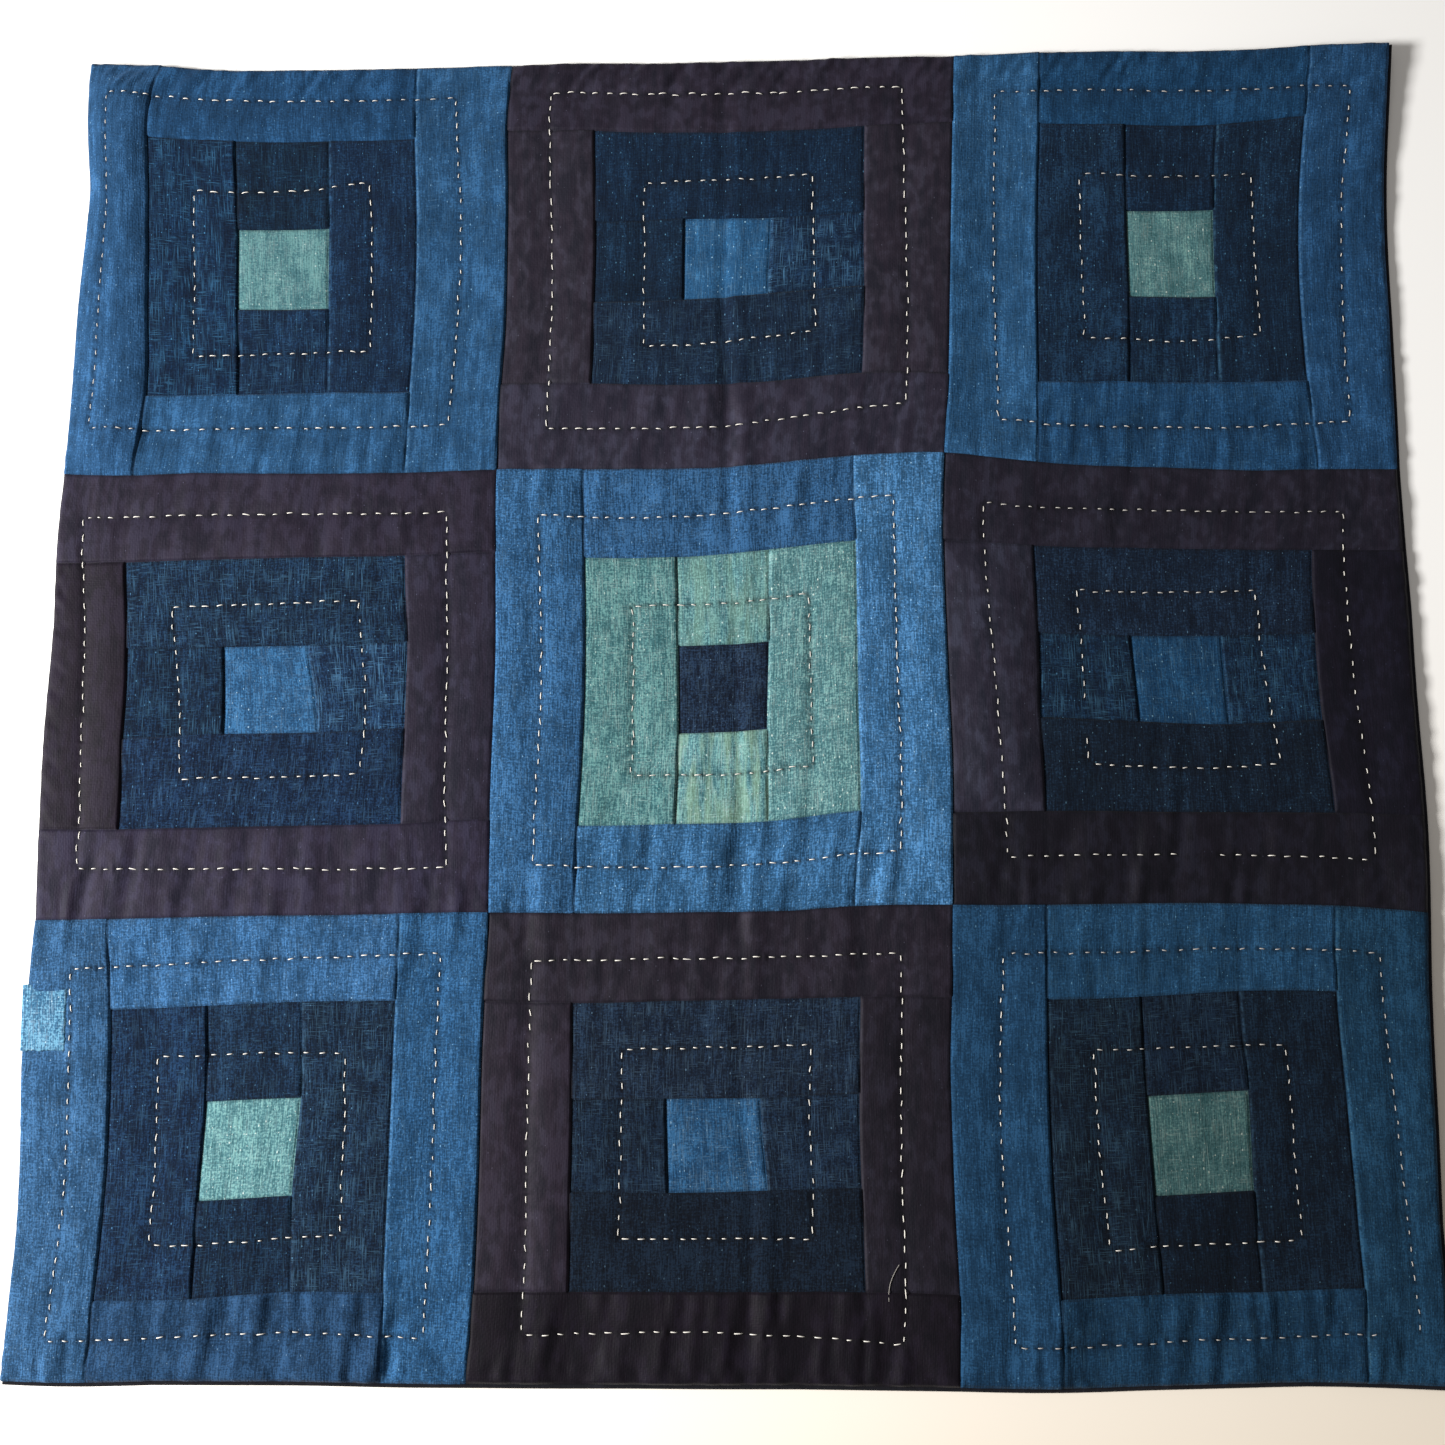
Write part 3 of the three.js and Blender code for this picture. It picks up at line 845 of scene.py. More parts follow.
def under_faces(numbers, coarse):
    """Faces of the under side on a coarse grid. A cell at the rim takes all the rim's points on that side."""
    last = coarse[-1]

    def run(first, second):
        (row, column), (row2, column2) = first, second
        at_rim = (row == row2 and row in (0, last)) or (column == column2 and column in (0, last))
        if not at_rim:
            return [numbers[row, column]]
        steps = max(abs(row2 - row), abs(column2 - column))
        turn = ((row2 > row) - (row2 < row), (column2 > column) - (column2 < column))
        return [numbers[row + turn[0] * k, column + turn[1] * k] for k in range(steps)]

    faces = []
    for top, bottom in zip(coarse, coarse[1:]):
        for left, right in zip(coarse, coarse[1:]):
            corners = [(top, left), (top, right), (bottom, right), (bottom, left)]
            faces.append([n for a, b in zip(corners, corners[1:] + corners[:1]) for n in run(a, b)])
    return faces


def closed_sheet(name, lines, coarse, face, under):
    """A closed mesh from the points of its face and of its under side, on one grid of lines, and the places
    on the grid of its under side's points."""
    count = len(lines)
    numbers, faces = grid_faces(count, count)
    rim = rim_steps(count, count)
    wanted = np.array(sorted(set(rim) | {(row, column) for row in coarse for column in coarse}))
    below = np.full((count, count), -1)
    below[tuple(wanted.T)] = count * count + np.arange(len(wanted))
    faces += rim_faces(numbers, below, rim) + under_faces(below, coarse)
    mesh = new_mesh(name, [face, under.reshape(count, count, 3)[tuple(wanted.T)]], faces)
    return mesh, wanted


def spots_of(u, v, wanted):
    """The place on the pattern of each point of a closed sheet, first of its face and then of its under
    side."""
    spots = np.column_stack([u.ravel(), v.ravel()])
    return np.concatenate([spots, spots[wanted[:, 0] * len(u) + wanted[:, 1]]])


def hex_colour(text):
    """An sRGB hex colour as linear RGBA."""
    values = [int(text[k : k + 2], 16) / 255 for k in (1, 3, 5)]
    return (*[v / 12.92 if v <= 0.04045 else ((v + 0.055) / 1.055) ** 2.4 for v in values], 1.0)


# Materials.
def add(tree, kind, sockets=None, out=0, **settings):
    """Adds a node with its settings, sets or links its sockets, and gives back one of its outputs or all of
    them."""
    node = tree.nodes.new("ShaderNode" + kind)
    for key, value in settings.items():
        setattr(node, key, value)
    for key, value in (sockets or {}).items():
        if isinstance(value, bpy.types.NodeSocket):
            tree.links.new(value, node.inputs[key])
        else:
            node.inputs[key].default_value = value
    return node.outputs if out is None else node.outputs[out]


def new_material(name):
    material = bpy.data.materials.new(name)
    material.use_nodes = True
    material.node_tree.nodes.clear()
    return material, material.node_tree


def give_surface(tree, shade):
    """Joins colour, roughness and bumps to the surface of a material."""
    surface = add(tree, "BsdfPrincipled", shade)
    add(tree, "OutputMaterial", {"Surface": surface}, out=None)


def stretched(tree, grain, across, along, detail, seed):
    """Uneven streaks, each about so many mm across and along the warp."""
    places = {"Vector": grain, "Location": (seed, seed, 0), "Scale": (1 / across, 1 / along, 1)}
    sockets = {"Vector": add(tree, "Mapping", places), "Scale": 1.0, "Detail": detail, "Roughness": 0.6}
    return add(tree, "TexNoise", sockets, noise_dimensions="2D")


# Knots of undyed fibre: their width in mm, between which uneven values they come up, and by how much a full
# share of them lowers those.
KNOT_WIDE = 0.75
KNOTS_SHOW = (0.9, 0.95)
KNOT_SHARE = 0.2


def nubs(tree, grain, share):
    """Small knots of undyed fibre, where an uneven value is in its top share."""
    speck = stretched(tree, grain, KNOT_WIDE, 1.6 * KNOT_WIDE, 0.0, 53.0)
    low, high = (limit - KNOT_SHARE * share for limit in KNOTS_SHOW)
    return add(tree, "MapRange", {0: speck, 1: low, 2: high}, interpolation_type="SMOOTHSTEP")


# Thread spacing of the hand-woven cloths. The real threads are about 0.6 mm apart, too fine to show, so the
# weave is drawn at 0.8 mm.
THREAD_PITCH = 0.8


def weave_height(tree, grain, pitch):
    """Plain weave: threads pass over and under each other in turn, both ways."""
    turns = add(tree, "VectorMath", {0: grain, 1: (math.pi / pitch,) * 3}, operation="MULTIPLY")
    waves = add(tree, "VectorMath", {0: turns}, operation="SINE")
    across, up, _ = add(tree, "SeparateXYZ", {0: waves}, out=None)
    return add(tree, "Math", {0: across, 1: up}, operation="MULTIPLY")


# Uneven yarn and dye in the hand-woven cloths: how wide and how long each kind of patch is along the warp
# in mm, how detailed it is, and which draw it takes.
UNEVEN = {
    "warp": (0.5, 5, 1.0, 3.0), "weft": (4, 0.5, 1.0, 7.0), "fine": (0.7, 0.7, 1.0, 13.0),
    "bands": (2.2, 40, 1.0, 11.0), "clouds": (11, 16, 3.0, 5.0), "mottles": (3.5, 6, 1.0, 17.0),
    "slub_up": (0.3, 9, 1.0, 23.0), "slub_across": (5, 0.3, 1.0, 29.0), "yellowed": (4, 26, 2.0, 61.0),
    "up_here": (4, 10, 2.0, 31.0), "across_here": (9, 5, 2.0, 37.0), "worn_lit_here": (2.2, 2.2, 2.0, 41.0),
}

# Where slubs and stains, and the spots that have them, begin to show and show in full.
SHOWS = {
    "slub_up": (0.5, 0.72), "up_here": (0.25, 0.7), "slub_across": (0.54, 0.74), "across_here": (0.35, 0.7),
    "yellowed": (0.35, 0.65), "worn_lit_here": (0.35, 0.7),
}

# How high the threads stand, in metres, and the share of it that each kind of yarn has.
THREAD_RISES = 0.15 * MM
YARN_RISES = {"weave": 0.12, "warp": 1.0, "weft": 0.8, "knot": 0.6}

# How much of the pale fibre shows on knots, and on folds as wear with a painted highlight, and how much
# and in what colour painted shade darkens stitch holes and the folds of seams.
KNOT_SHOWS = 0.8
WEAR_AND_HIGHLIGHT_SHOWS = 0.22
PAINTED_SHADE_SHOWS = 0.8
PAINTED_SHADE_COLOUR = "#05070B"


def hand_woven(name, deep, body, pale, fleck, streak=1.0, slub=1.0, nub_share=0.2, rough=0.9, gloss=0.08,
               feel=0.8, stain=None, mottle=0.3, cloudy=0.8, checked=0.0, pitch=THREAD_PITCH):
    """Hand-spun cotton, indigo dyed in the yarn and plain woven: a matt cloth with streaks of lighter and
    darker yarn both ways, soft clouds and mottles of dye, slubs, knots of undyed fibre, folds along the
    seams rubbed pale and given a painted highlight where they face the window, painted shade in stitch
    holes and the folds of seams, and a colour for each patch that is partly how its dye came out and partly
    painted light and shade."""
    material, tree = new_material(name)
    grain = add(tree, "UVMap", uv_map="grain")
    # The dye layer holds the patch's tint, its folds' wear with a painted highlight, painted shade in stitch
    # holes and seam folds, and how slubby it is.
    dye, slubby = add(tree, "VertexColor", out=None, layer_name="dye")
    tint, wear_and_highlight, hole_and_shade = add(tree, "SeparateColor", {0: dye}, out=None)
    yarn = add(tree, "VertexColor", layer_name="yarn")
    coarse, stained, _ = add(tree, "SeparateColor", {0: yarn}, out=None)
    coarse = add(tree, "Math", {0: coarse, 1: streak}, operation="MULTIPLY")
    sizes = {part: size for part, size in UNEVEN.items() if stain or part != "yellowed"}
    parts = {part: stretched(tree, grain, *size) for part, size in sizes.items()}
    parts |= {"weave": weave_height(tree, grain, pitch), "knot": nubs(tree, grain, nub_share)}
    for part, (low, high) in SHOWS.items():
        if part in parts:
            sockets = {0: parts[part], 1: low, 2: high}
            parts[part] = add(tree, "MapRange", sockets, interpolation_type="SMOOTHSTEP")

    level = add(tree, "Math", {0: parts["weave"], 1: checked, 2: tint}, operation="MULTIPLY_ADD")
    for part, weight, strength in (
        ("warp", 0.9, coarse), ("weft", 0.6, coarse), ("fine", 1.1, coarse), ("bands", 0.5, 1.0),
        ("clouds", cloudy, 1.0), ("mottles", mottle, 1.0),
    ):
        swing = add(tree, "Math", {0: parts[part], 1: 0.5}, operation="SUBTRACT")
        swing = add(tree, "Math", {0: swing, 1: weight}, operation="MULTIPLY")
        level = add(tree, "Math", {0: swing, 1: strength, 2: level}, operation="MULTIPLY_ADD")
    slubs = []
    for kind, here in (("slub_up", "up_here"), ("slub_across", "across_here")):
        slubs.append(add(tree, "Math", {0: parts[kind], 1: parts[here]}, operation="MULTIPLY"))
    slubs = add(tree, "Math", dict(enumerate(slubs)), operation="MAXIMUM")
    slubs = add(tree, "Math", {0: slubs, 1: slubby}, operation="MULTIPLY")
    # Folds that face the window: wear with a painted highlight, broken up along them.
    worn_and_lit = add(tree, "Math", {0: wear_and_highlight, 1: parts["worn_lit_here"]}, operation="MULTIPLY")

    to_body = add(tree, "MapRange", {0: level, 1: 0.1, 2: 0.5}, interpolation_type="SMOOTHSTEP")
    to_pale = add(tree, "MapRange", {0: level, 1: 0.5, 2: 0.9}, interpolation_type="SMOOTHSTEP")
    layers = [(to_body, 1.0, body), (to_pale, 1.0, pale)]
    layers += [(parts["yellowed"], stained, stain)] if stain else []
    layers += [(slubs, slub, fleck), (parts["knot"], KNOT_SHOWS, fleck), (worn_and_lit, WEAR_AND_HIGHLIGHT_SHOWS, fleck)]
    # Painted shade: stitch holes and the folds of seams darkened nearly to black.
    layers += [(hole_and_shade, PAINTED_SHADE_SHOWS, PAINTED_SHADE_COLOUR)]
    colour = hex_colour(deep)
    for share, strength, laid in layers:
        share = add(tree, "Math", {0: share, 1: strength}, operation="MULTIPLY")
        colour = add(tree, "Mix", {0: share, 6: colour, 7: hex_colour(laid)}, out=2, data_type="RGBA")
    # Each patch's colour is multiplied by its lot_and_light: partly its dye lot, partly painted light and
    # shade.
    lot_and_light = add(tree, "VertexColor", layer_name="lot_and_light")
    colour = add(tree, "Mix", {0: 1.0, 6: colour, 7: lot_and_light}, out=2, data_type="RGBA", blend_type="MULTIPLY")
    threads = 0.0
    for part, rise in YARN_RISES.items():
        threads = add(tree, "Math", {0: parts[part], 1: rise, 2: threads}, operation="MULTIPLY_ADD")
    bump = add(tree, "Bump", {"Height": threads, "Strength": feel, "Distance": THREAD_RISES})
    shade = {"Base Color": colour, "Roughness": rough, "Normal": bump, "Specular IOR Level": gloss}
    give_surface(tree, shade | {"Sheen Weight": 0.03, "Sheen Roughness": 0.5})
    return material


# Where along its slanting way, in metres, the painted shade on the board begins and is in full.
BOARD_SHADE_SPAN = (0.02, 0.36)


def plain_floor():
    """Smooth matt painted board, with painted shade that darkens and warms it towards its lower right
    corner.
    """
    material, tree = new_material("painted_board")
    place = add(tree, "TexCoord", out=None)["Object"]
    right, up, _ = add(tree, "SeparateXYZ", {0: place}, out=None)
    right = add(tree, "Math", {0: right, 1: 0.4}, operation="MULTIPLY")
    aslant = add(tree, "Math", {0: right, 1: up}, operation="SUBTRACT")
    low, high = BOARD_SHADE_SPAN
    share = add(tree, "MapRange", {0: aslant, 1: low, 2: high}, interpolation_type="SMOOTHSTEP")
    # Painted shade: the board darkens and warms towards its lower right corner.
    colours = {6: hex_colour("#EFEEEC"), 7: hex_colour("#DACFBF")}
    colour = add(tree, "Mix", {0: share} | colours, out=2, data_type="RGBA")
    give_surface(tree, {"Base Color": colour, "Roughness": 0.85, "Specular IOR Level": 0.1})
    return material


def cotton_thread():
    """Thick soft cotton thread of two twisted plies, off-white, matt and a little soiled."""
    material, tree = new_material("cotton_thread")
    ply = add(tree, "UVMap", uv_map="ply")
    soil = add(tree, "VertexColor", layer_name="soil")
    sockets = {"Vector": ply, "Scale": 1.0, "Distortion": 0.4, "Detail": 1.0}
    twist = add(tree, "TexWave", sockets, out=1, wave_type="BANDS", bands_direction="DIAGONAL")
    colour = hex_colour("#D6D1C6")
    for share, laid in ((twist, "#FBF7EE"), (soil, "#8C8783")):
        colour = add(tree, "Mix", {0: share, 6: colour, 7: hex_colour(laid)}, out=2, data_type="RGBA")
    bump = add(tree, "Bump", {"Height": twist, "Strength": 0.7, "Distance": 0.1 * MM})
    give_surface(tree, {"Base Color": colour, "Roughness": 0.85, "Normal": bump, "Sheen Weight": 0.3})
    return material


# Each cloth: its name, its deep, middle and pale colours and the colour of its undyed flecks, then how
# streaky, slubby and knotty it is.
CLOTHS = {
    "blue": hand_woven(
        "indigo_cotton_blue", "#132F47", "#1E3F5D", "#315A80", "#6D93AF", 0.9, 0.35, 0.2, cloudy=0.9
    ),
    "navy": hand_woven("indigo_cotton_navy", "#071120", "#0B1A2D", "#18304A", "#46708E", 1.1, 0.53, 0.25),
    "green": hand_woven(
        "indigo_cotton_sea_green", "#30585C", "#436D71", "#63908D", "#AFC6BE", 1.15, 0.7, 0.4,
        stain="#7C9673",
    ),
    "mid_blue": hand_woven(
        "indigo_cotton_mid_blue", "#133351", "#1C4265", "#2F608B", "#86AAC2", 0.9, 0.5, 0.3
    ),
    "aubergine": hand_woven(
        "plain_cotton_aubergine", "#191620", "#221D27", "#2D2834", "#4A4654", 0.4, 0.1, 0.0, 0.65, 0.1,
        feel=0.5, stain="#291C28", mottle=1.6, cloudy=2.0,
    ),
}
CLOTH_NAMES = list(CLOTHS)
# How discoloured a cloth is where its block's table doesn't say.
PLAIN_STAIN = {"aubergine": 0.27}
INNER_STRIPS = [name for name in PATCH_NAMES if name.startswith("inner")]
BACK_CLOTH = hand_woven(
    "plain_cotton_black", "#0D0D12", "#131318", "#1A1A21", "#34343C", 0.3, 0.1, 0.0, feel=0.4
)
TAB_CLOTH = hand_woven(
    "coarse_cotton_light_blue", "#244965", "#38627F", "#5A89A3", "#B4D0DE", 1.6, 0.7, 0.3,
    checked=0.16, pitch=1.15,
)
THREAD = cotton_thread()


def block_piece(block, number):
    """One block of the front as a closed thin sheet, with the cloth, dye and rubbed folds of each patch on
    its faces, and painted light and shade: a highlight on folds, shade in seams and stitch holes, and light
    and shade in each patch's colour."""
    lines = cut_lines()
    coarse = [k for k, place in enumerate(lines) if place % UNDER_STEP == 0]
    u, v = np.meshgrid(lines, lines)
    left, top = upper_left(block)
    x, y = left + u, top - v
    stitches = stitches_of(block, np.random.default_rng(100 + number))
    z, hole_and_shade = front_height(block, x, y, stitches)
    sewn_x, sewn_y = x + shift_right(x, y), y + shift_up(x, y)
    face = in_frame(sewn_x, sewn_y, z)
    under = in_frame(sewn_x, sewn_y, lie(x, y) + BACK_THICK + GAP)
    mesh, wanted = closed_sheet("block_" + block["name"], lines, coarse, face, under)
    dress(mesh, block, spots_of(u, v, wanted), hole_and_shade, np.random.default_rng(200 + number))
    piece = new_piece("block_" + block["name"], mesh, CLOTHS.values())
    return piece, stitches


def dress(mesh, block, spots, hole_and_shade, draw):
    """Gives each face its cloth, and each corner its place on the cloth's grain; its dye; its folds rubbed
    pale with a painted highlight; painted shade in its stitch holes and seam folds; and its patch's colour,
    which is partly painted light and shade."""
    corners = corner_points(mesh)
    totals = np.empty(len(mesh.polygons), int)
    mesh.polygons.foreach_get("loop_total", totals)
    owner = np.repeat(np.arange(len(totals)), totals)
    patches = patch_at(block, *[np.bincount(owner, spots[corners, k]) / totals for k in (0, 1)])
    cloths = [block["cloths"][name.split("_")[0]] for name in PATCH_NAMES]
    numbers = np.array([CLOTH_NAMES.index(cloth) for cloth in cloths])
    mesh.polygons.foreach_set("material_index", numbers[patches])
    offsets = draw.uniform(0, 400, (len(PATCH_NAMES), 2))
    tints = draw.normal(0.5, 0.06, len(PATCH_NAMES))
    given = dict(zip(INNER_STRIPS, block.get("slubs", ())))
    slubs = np.array([given.get(name, draw.uniform(0.1, 0.5)) for name in PATCH_NAMES])
    patch = patches[owner]
    lay_grain(mesh, "grain", spots[corners] * (1, -1) + offsets[patch])
    # Folds that face the window get wear with a painted highlight; stitch holes and seam folds get painted
    # shade.
    worn_and_lit = worn_and_lit_folds(block, *spots.T)
    painted_shade = np.maximum(np.append(hole_and_shade, np.zeros(len(spots) - hole_and_shade.size)), painted_seam_shade(block, *spots.T))
    paint(mesh, "dye", np.column_stack([tints[patch], worn_and_lit[corners], painted_shade[corners], slubs[patch]]))
    # Each patch's lots_and_light colour: partly its dye lot, partly painted light and shade, darker down the
    # right column.
    lots_and_light = [block["lots_and_light"].get(name) or block["lots_and_light"][name.split("_")[0]] for name in PATCH_NAMES]
    paint(mesh, "lot_and_light", np.column_stack([lots_and_light, np.ones(len(PATCH_NAMES))])[patch])
    given = block.get("stain", {})
    stains = [given.get(name, PLAIN_STAIN.get(cloth, 0)) for name, cloth in zip(PATCH_NAMES, cloths)]
    paint(mesh, "yarn", np.array([(block["coarse"], stain, 0, 1) for stain in stains])[patch])


# A stitch is a bent tube: its sides and rings, how far it goes past its length, how high it stands over the
# cloth, how deep its ends dip, how much they narrow and how flat it lies, in mm and shares.
STITCH = {"sides": 6, "rings": 7, "past": 0.25, "stands": 0.22, "dips": 0.75, "narrows": 0.35, "flat": 0.8}


def stitch_piece(block, stitches):
    """All the stitches of a block: short thick threads that rise out of the cloth and dip back into it."""
    sides, rings = STITCH["sides"], STITCH["rings"]
    points, faces, ply, soil = [], [], [], []
    around = np.linspace(0, 2 * np.pi, sides, endpoint=False)
    share = np.linspace(-1, 1, rings)
    radius = 0.5 * THREAD_THICK * (1 - STITCH["narrows"] * share**4)
    for stitch in stitches:
        first = len(points) * sides
        along = share * (stitch["length"] / 2 + STITCH["past"])
        px = stitch["middle"][0] + along * math.cos(stitch["turn"])
        py = stitch["middle"][1] + along * math.sin(stitch["turn"])
        ground, _ = front_height(block, px, py, stitches)
        height = np.max(ground) + STITCH["stands"] - stitch["sink"] - STITCH["dips"] * np.abs(share) ** 3
        sx, sy = px + shift_right(px, py), py + shift_up(px, py)
        tangent = np.array([sx[-1] - sx[0], sy[-1] - sy[0]])
        tangent = tangent / np.hypot(*tangent)
        for ring in range(rings):
            aside = np.cos(around) * radius[ring]
            up = np.sin(around) * radius[ring] * STITCH["flat"]
            place = (sx[ring] - tangent[1] * aside, sy[ring] + tangent[0] * aside, height[ring] + up)
            points.append(in_frame(*place))
        for ring in range(rings - 1):
            low, high = along[ring], along[ring + 1]
            for k in range(sides):
                a, b = first + ring * sides + k, first + ring * sides + (k + 1) % sides
                faces.append([a, a + sides, b + sides, b])
                ply += [(k / 2, low), (k / 2, high), ((k + 1) / 2, high), ((k + 1) / 2, low)]
        faces.append([first + k for k in range(sides)])
        faces.append([first + (rings - 1) * sides + k for k in reversed(range(sides))])
        ply += [(0, 0)] * (2 * sides)
        soil += [stitch["soil"]] * (4 * sides * (rings - 1) + 2 * sides)
    mesh = new_mesh("stitches_" + block["name"], points, faces)
    lay_grain(mesh, "ply", ply)
    paint(mesh, "soil", np.repeat(np.clip(soil, 0, 1), 4))
    return new_piece("stitches_" + block["name"], mesh, [THREAD])


# A loose fibre on the lower middle block: its two ends and how far it bends between them, on the pattern.
FIBRE = {
    "from": (56.5, -185.5), "to": (53.2, -196.5), "bend": 1.1, "thick": 0.22, "block": "bottom_middle",
    "rings": 12, "sides": 5, "soil": 0.8,
}


def loose_fibre():
    """One fine fibre of undyed cotton that lies curled on the cloth."""
    block = next(b for b in BLOCKS if b["name"] == FIBRE["block"])
    share = np.linspace(0, 1, FIBRE["rings"])
    px, py = (start + share * (end - start) for start, end in zip(FIBRE["from"], FIBRE["to"]))
    px = px - FIBRE["bend"] * np.sin(np.pi * share)
    ground, _ = front_height(block, px, py, [])
    sides, half = FIBRE["sides"], FIBRE["thick"] / 2
    around = np.linspace(0, 2 * np.pi, sides, endpoint=False)
    rings = [
        in_frame(x + half * np.cos(around), y + 0 * around, z + half * (1.5 + np.sin(around)))
        for x, y, z in zip(px, py, ground)
    ]
    faces = []
    for first in range(0, sides * (len(rings) - 1), sides):
        for a, b in ((first + k, first + (k + 1) % sides) for k in range(sides)):
            faces.append([a, b, b + sides, a + sides])
    mesh = new_mesh("loose_fibre", rings, faces)
    mesh.uv_layers.new(name="ply")
    paint(mesh, "soil", np.full(4 * len(mesh.loops), FIBRE["soil"]))
    return new_piece("loose_fibre", mesh, [THREAD])


# The back's grid lines close to its rim, and how far and within what its edge rolls down, in mm.
BACK_RIM = [0, 0.4, 1, 2, 4]
BACK_ROLL = 0.45
BACK_ROLL_WIDE = 1.2


def back_piece():
    """The plain back: a closed thin sheet that reaches past the front at the right and the bottom."""
    inner = list(np.arange(UNDER_STEP, 2 * HALF - UNDER_STEP + 1, UNDER_STEP))
    lines = np.array(BACK_RIM + inner + [2 * HALF - place for place in reversed(BACK_RIM)], float)
    u, v = np.meshgrid(lines, lines)
    x, y = u - HALF, HALF - v
    inwards = HALF - np.maximum(np.abs(x), np.abs(y))
    sewn_x = x + shift_right(x, y) + LIP * np.maximum(x, 0) / HALF
    sewn_y = y + shift_up(x, y) + LIP * np.minimum(y, 0) / HALF
    roll = BACK_ROLL * (1 - smooth(0, BACK_ROLL_WIDE, inwards)) ** 2
    face = in_frame(sewn_x, sewn_y, lie(x, y) + BACK_THICK - roll)
    under = in_frame(sewn_x, sewn_y, lie(x, y) + roll * (lie(x, y) > 0))
    mesh, wanted = closed_sheet("plain_back", lines, list(range(len(lines))), face, under)
    plain_dress(mesh, spots_of(u, v, wanted))
    return new_piece("plain_back", mesh, [BACK_CLOTH])


def plain_dress(mesh, spots):
    """Grain and an even dye for a piece cut from one cloth."""
    lay_grain(mesh, "grain", spots[corner_points(mesh)])
    for name, value in (("dye", (0.5, 0, 0, 0.4)), ("lot_and_light", (1, 1, 1, 1)), ("yarn", (1, 0, 0, 1))):
        paint(mesh, name, np.tile(value, len(mesh.loops)))


# The top leaf lies so far above the cloth that it holds down. How uneven the tab's raw end, sides and face
# are, in mm.
TAB_CLEAR = 0.25
TAB_UNEVEN = {"end": 0.35, "sides": 0.3, "face": 0.12}


def tab_path():
    """The middle line of the tab's section, from its under leaf round the fold to the end of its top leaf."""
    thick, bend = TAB["thick"], TAB["bend"] - TAB["thick"] / 2
    left = -HALF - TAB["past"] + thick / 2
    high = thick + GAP + BACK_THICK + GAP + FRONT_THICK + TAB_CLEAR
    quarter = np.linspace(0, 1.57, 5)
    path = [(-HALF + TAB["under_leaf"] - k, thick / 2) for k in range(8)]
    path += [(left + bend - bend * math.sin(a), thick / 2 + bend - bend * math.cos(a)) for a in quarter]
    path += [(left + bend - bend * math.cos(a), high - bend + bend * math.sin(a)) for a in quarter]
    path += [(left + bend + k, high) for k in np.arange(1, TAB["past"] + TAB["top_leaf"] - bend, 1)]
    return np.array(path)


def tab_piece():
    """The folded tab as a closed thin cloth, a little wavy, its edges uneven where they are raw."""
    path = tab_path()
    half = TAB["width"] / 2
    widths = np.linspace(-half, half, 23)
    step = np.gradient(path, axis=0)
    normal = np.column_stack([step[:, 1], -step[:, 0]]) / np.hypot(*step.T)[:, None]
    run = np.append(0, np.cumsum(np.hypot(*np.diff(path, axis=0).T)))
    end = run[-1]
    rows, columns = len(path), len(widths)
    s, w = np.meshgrid(run, widths, indexing="ij")
    fray = TAB_UNEVEN["end"] * uneven(w * 3, s, (2, 2), 41) * smooth(end - 3, end, s)
    wave = TAB_UNEVEN["face"] * uneven(s, w, (5, 6), 43) * smooth(end - 14, end - 9, s)
    side = TAB_UNEVEN["sides"] * uneven(s * 3, w * 0, (2, 2), 42)
    side = side * np.sign(w) * smooth(half - 2, half, np.abs(w))
    points = []
    for sign in (0.5, -0.5):
        off = sign * 0.5 * TAB["thick"]
        px = path[:, :1] + normal[:, :1] * (off + wave) + fray
        pz = path[:, 1:] + normal[:, 1:] * off + np.abs(wave)
        points.append(in_frame(px + TAB["lean"] * w, TAB["middle"] + TAB["up"] + w + side, pz))
    numbers, faces = grid_faces(rows, columns)
    faces += [[point + numbers.size for point in reversed(face)] for face in faces]
    faces += rim_faces(numbers, numbers + numbers.size, rim_steps(rows, columns))
    mesh = new_mesh("folded_tab", points, faces)
    spots = np.column_stack([s.ravel(), w.ravel()])
    plain_dress(mesh, np.concatenate([spots, spots]))
    return new_piece("folded_tab", mesh, [TAB_CLOTH])


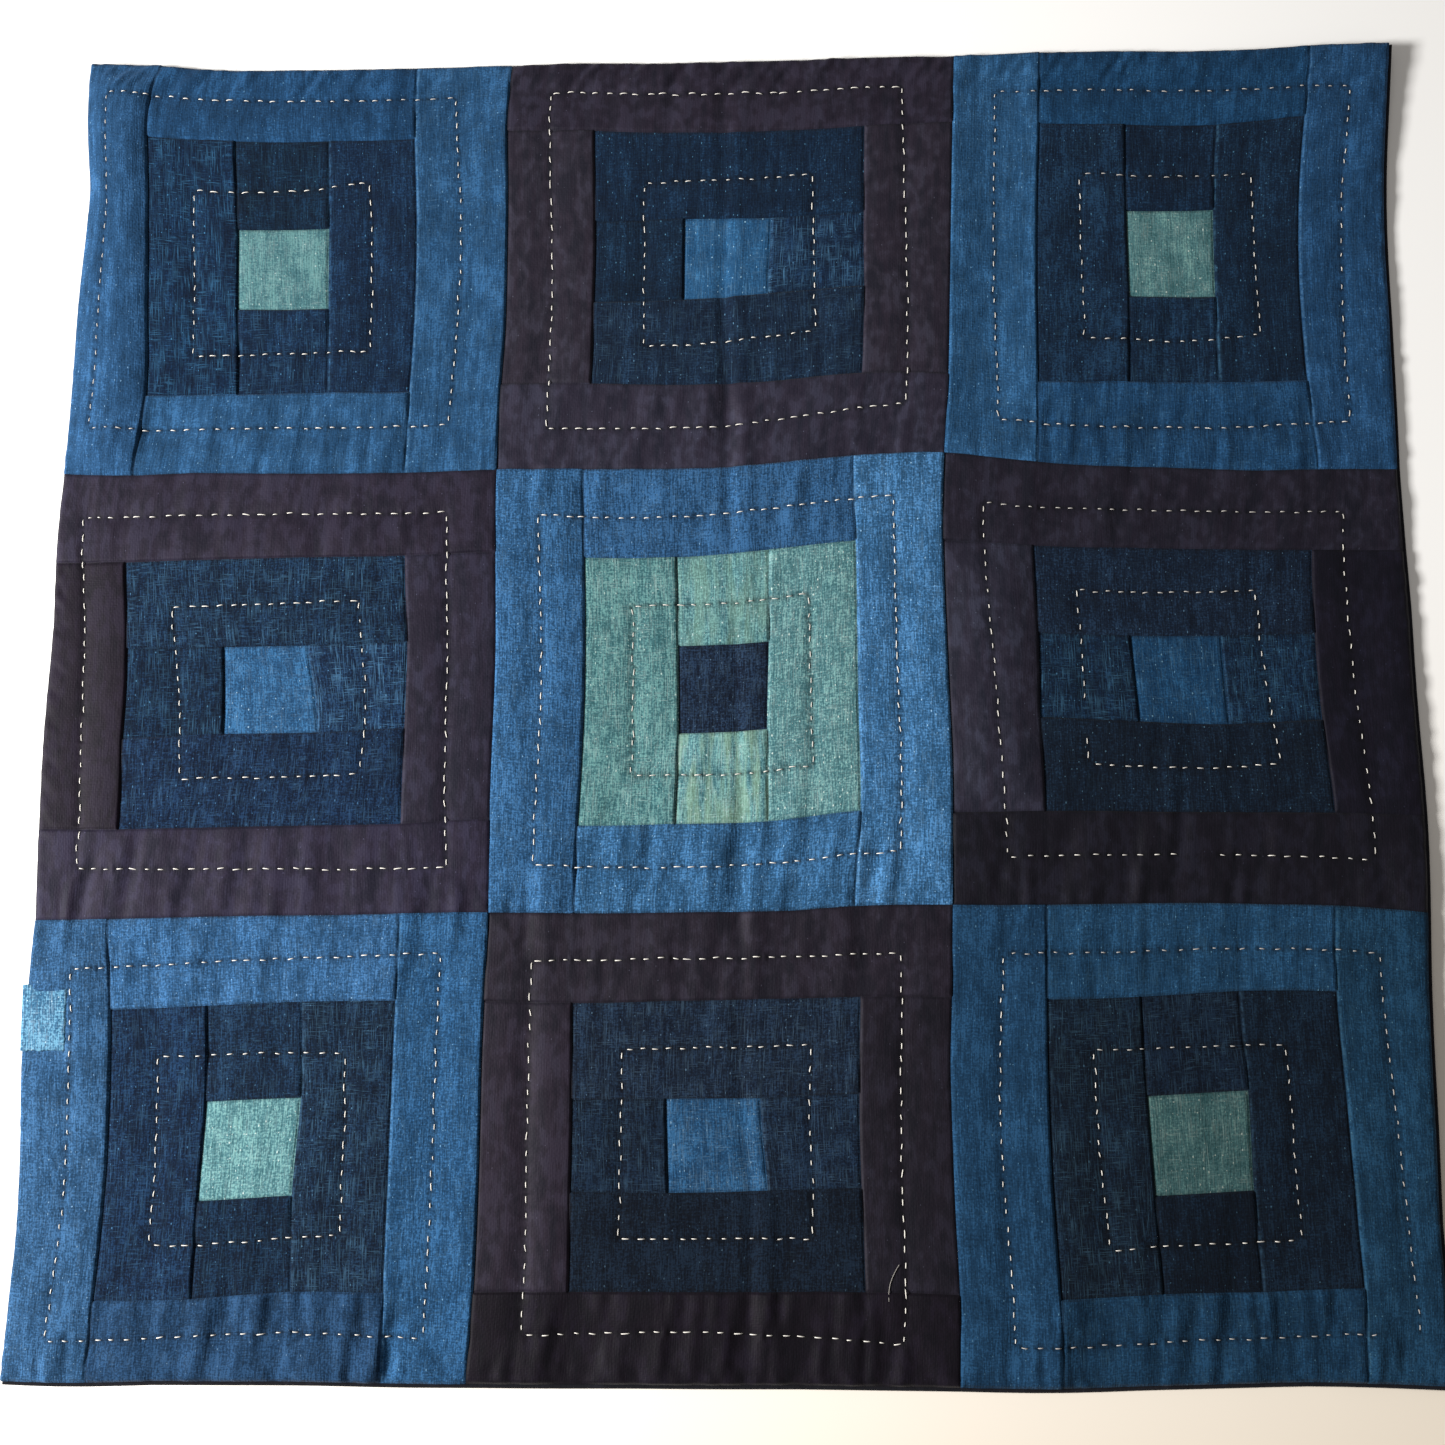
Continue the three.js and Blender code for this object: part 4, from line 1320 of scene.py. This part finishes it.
def build_cover():
    back = back_piece()
    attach(back, "root")
    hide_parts("back_panel")
    for number, block in enumerate(BLOCKS):
        piece, stitches = block_piece(block, number)
        threads = stitch_piece(block, stitches)
        for part, slot in ((piece, "patchwork_cotton"), (threads, "sewing_thread")):
            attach(part, "root")
        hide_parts("front_panel")
    fibre = loose_fibre()
    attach(fibre, "root")
    tab = tab_piece()
    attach(tab, "root")
    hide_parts("side_tab")
    length = float(np.sum(np.hypot(*np.diff(tab_path(), axis=0).T)))


FLOOR_REACH = 2.5
FLOOR_HEIGHT = -0.05 * MM


def build_floor():
    corners = np.array([(-1, -1), (1, -1), (1, 1), (-1, 1)]) * FLOOR_REACH
    mesh = bpy.data.meshes.new("floor")
    mesh.from_pydata([(x, y, FLOOR_HEIGHT) for x, y in corners], [], [[0, 1, 2, 3]])
    new_piece("floor", mesh, [plain_floor()])


# The light: a window's place, the spot that it faces, its width and height in metres, its power and its
# colour, and the colour and strength of the room's own light.
WINDOW = {"place": (-0.97, -0.125, 0.57), "faces": (0.1, 0, 0), "size": (0.36, 0.24), "power": 33}
WINDOW_COLOUR = (1.0, 0.99, 0.975)
ROOM = {"colour": (1.0, 0.96, 0.92, 1), "strength": 0.3}


def build_light():
    """A window to the left, low enough to rake across the cloth, in a pale warm room."""
    data = bpy.data.lights.new("window", "AREA")
    data.shape = "RECTANGLE"
    data.size, data.size_y = WINDOW["size"]
    data.energy = WINDOW["power"]
    data.color = WINDOW_COLOUR
    window = bpy.data.objects.new("window", data)
    window.location = WINDOW["place"]
    towards = Vector(WINDOW["faces"]) - window.location
    window.rotation_euler = towards.to_track_quat("-Z", "Y").to_euler()
    bpy.context.scene.collection.objects.link(window)
    world = bpy.data.worlds.new("room")
    world.use_nodes = True
    background = world.node_tree.nodes["Background"]
    background.inputs["Color"].default_value = ROOM["colour"]
    background.inputs["Strength"].default_value = ROOM["strength"]
    bpy.context.scene.world = world
    bpy.context.scene.view_settings.view_transform = "Standard"


build_cover()
build_floor()
build_light()
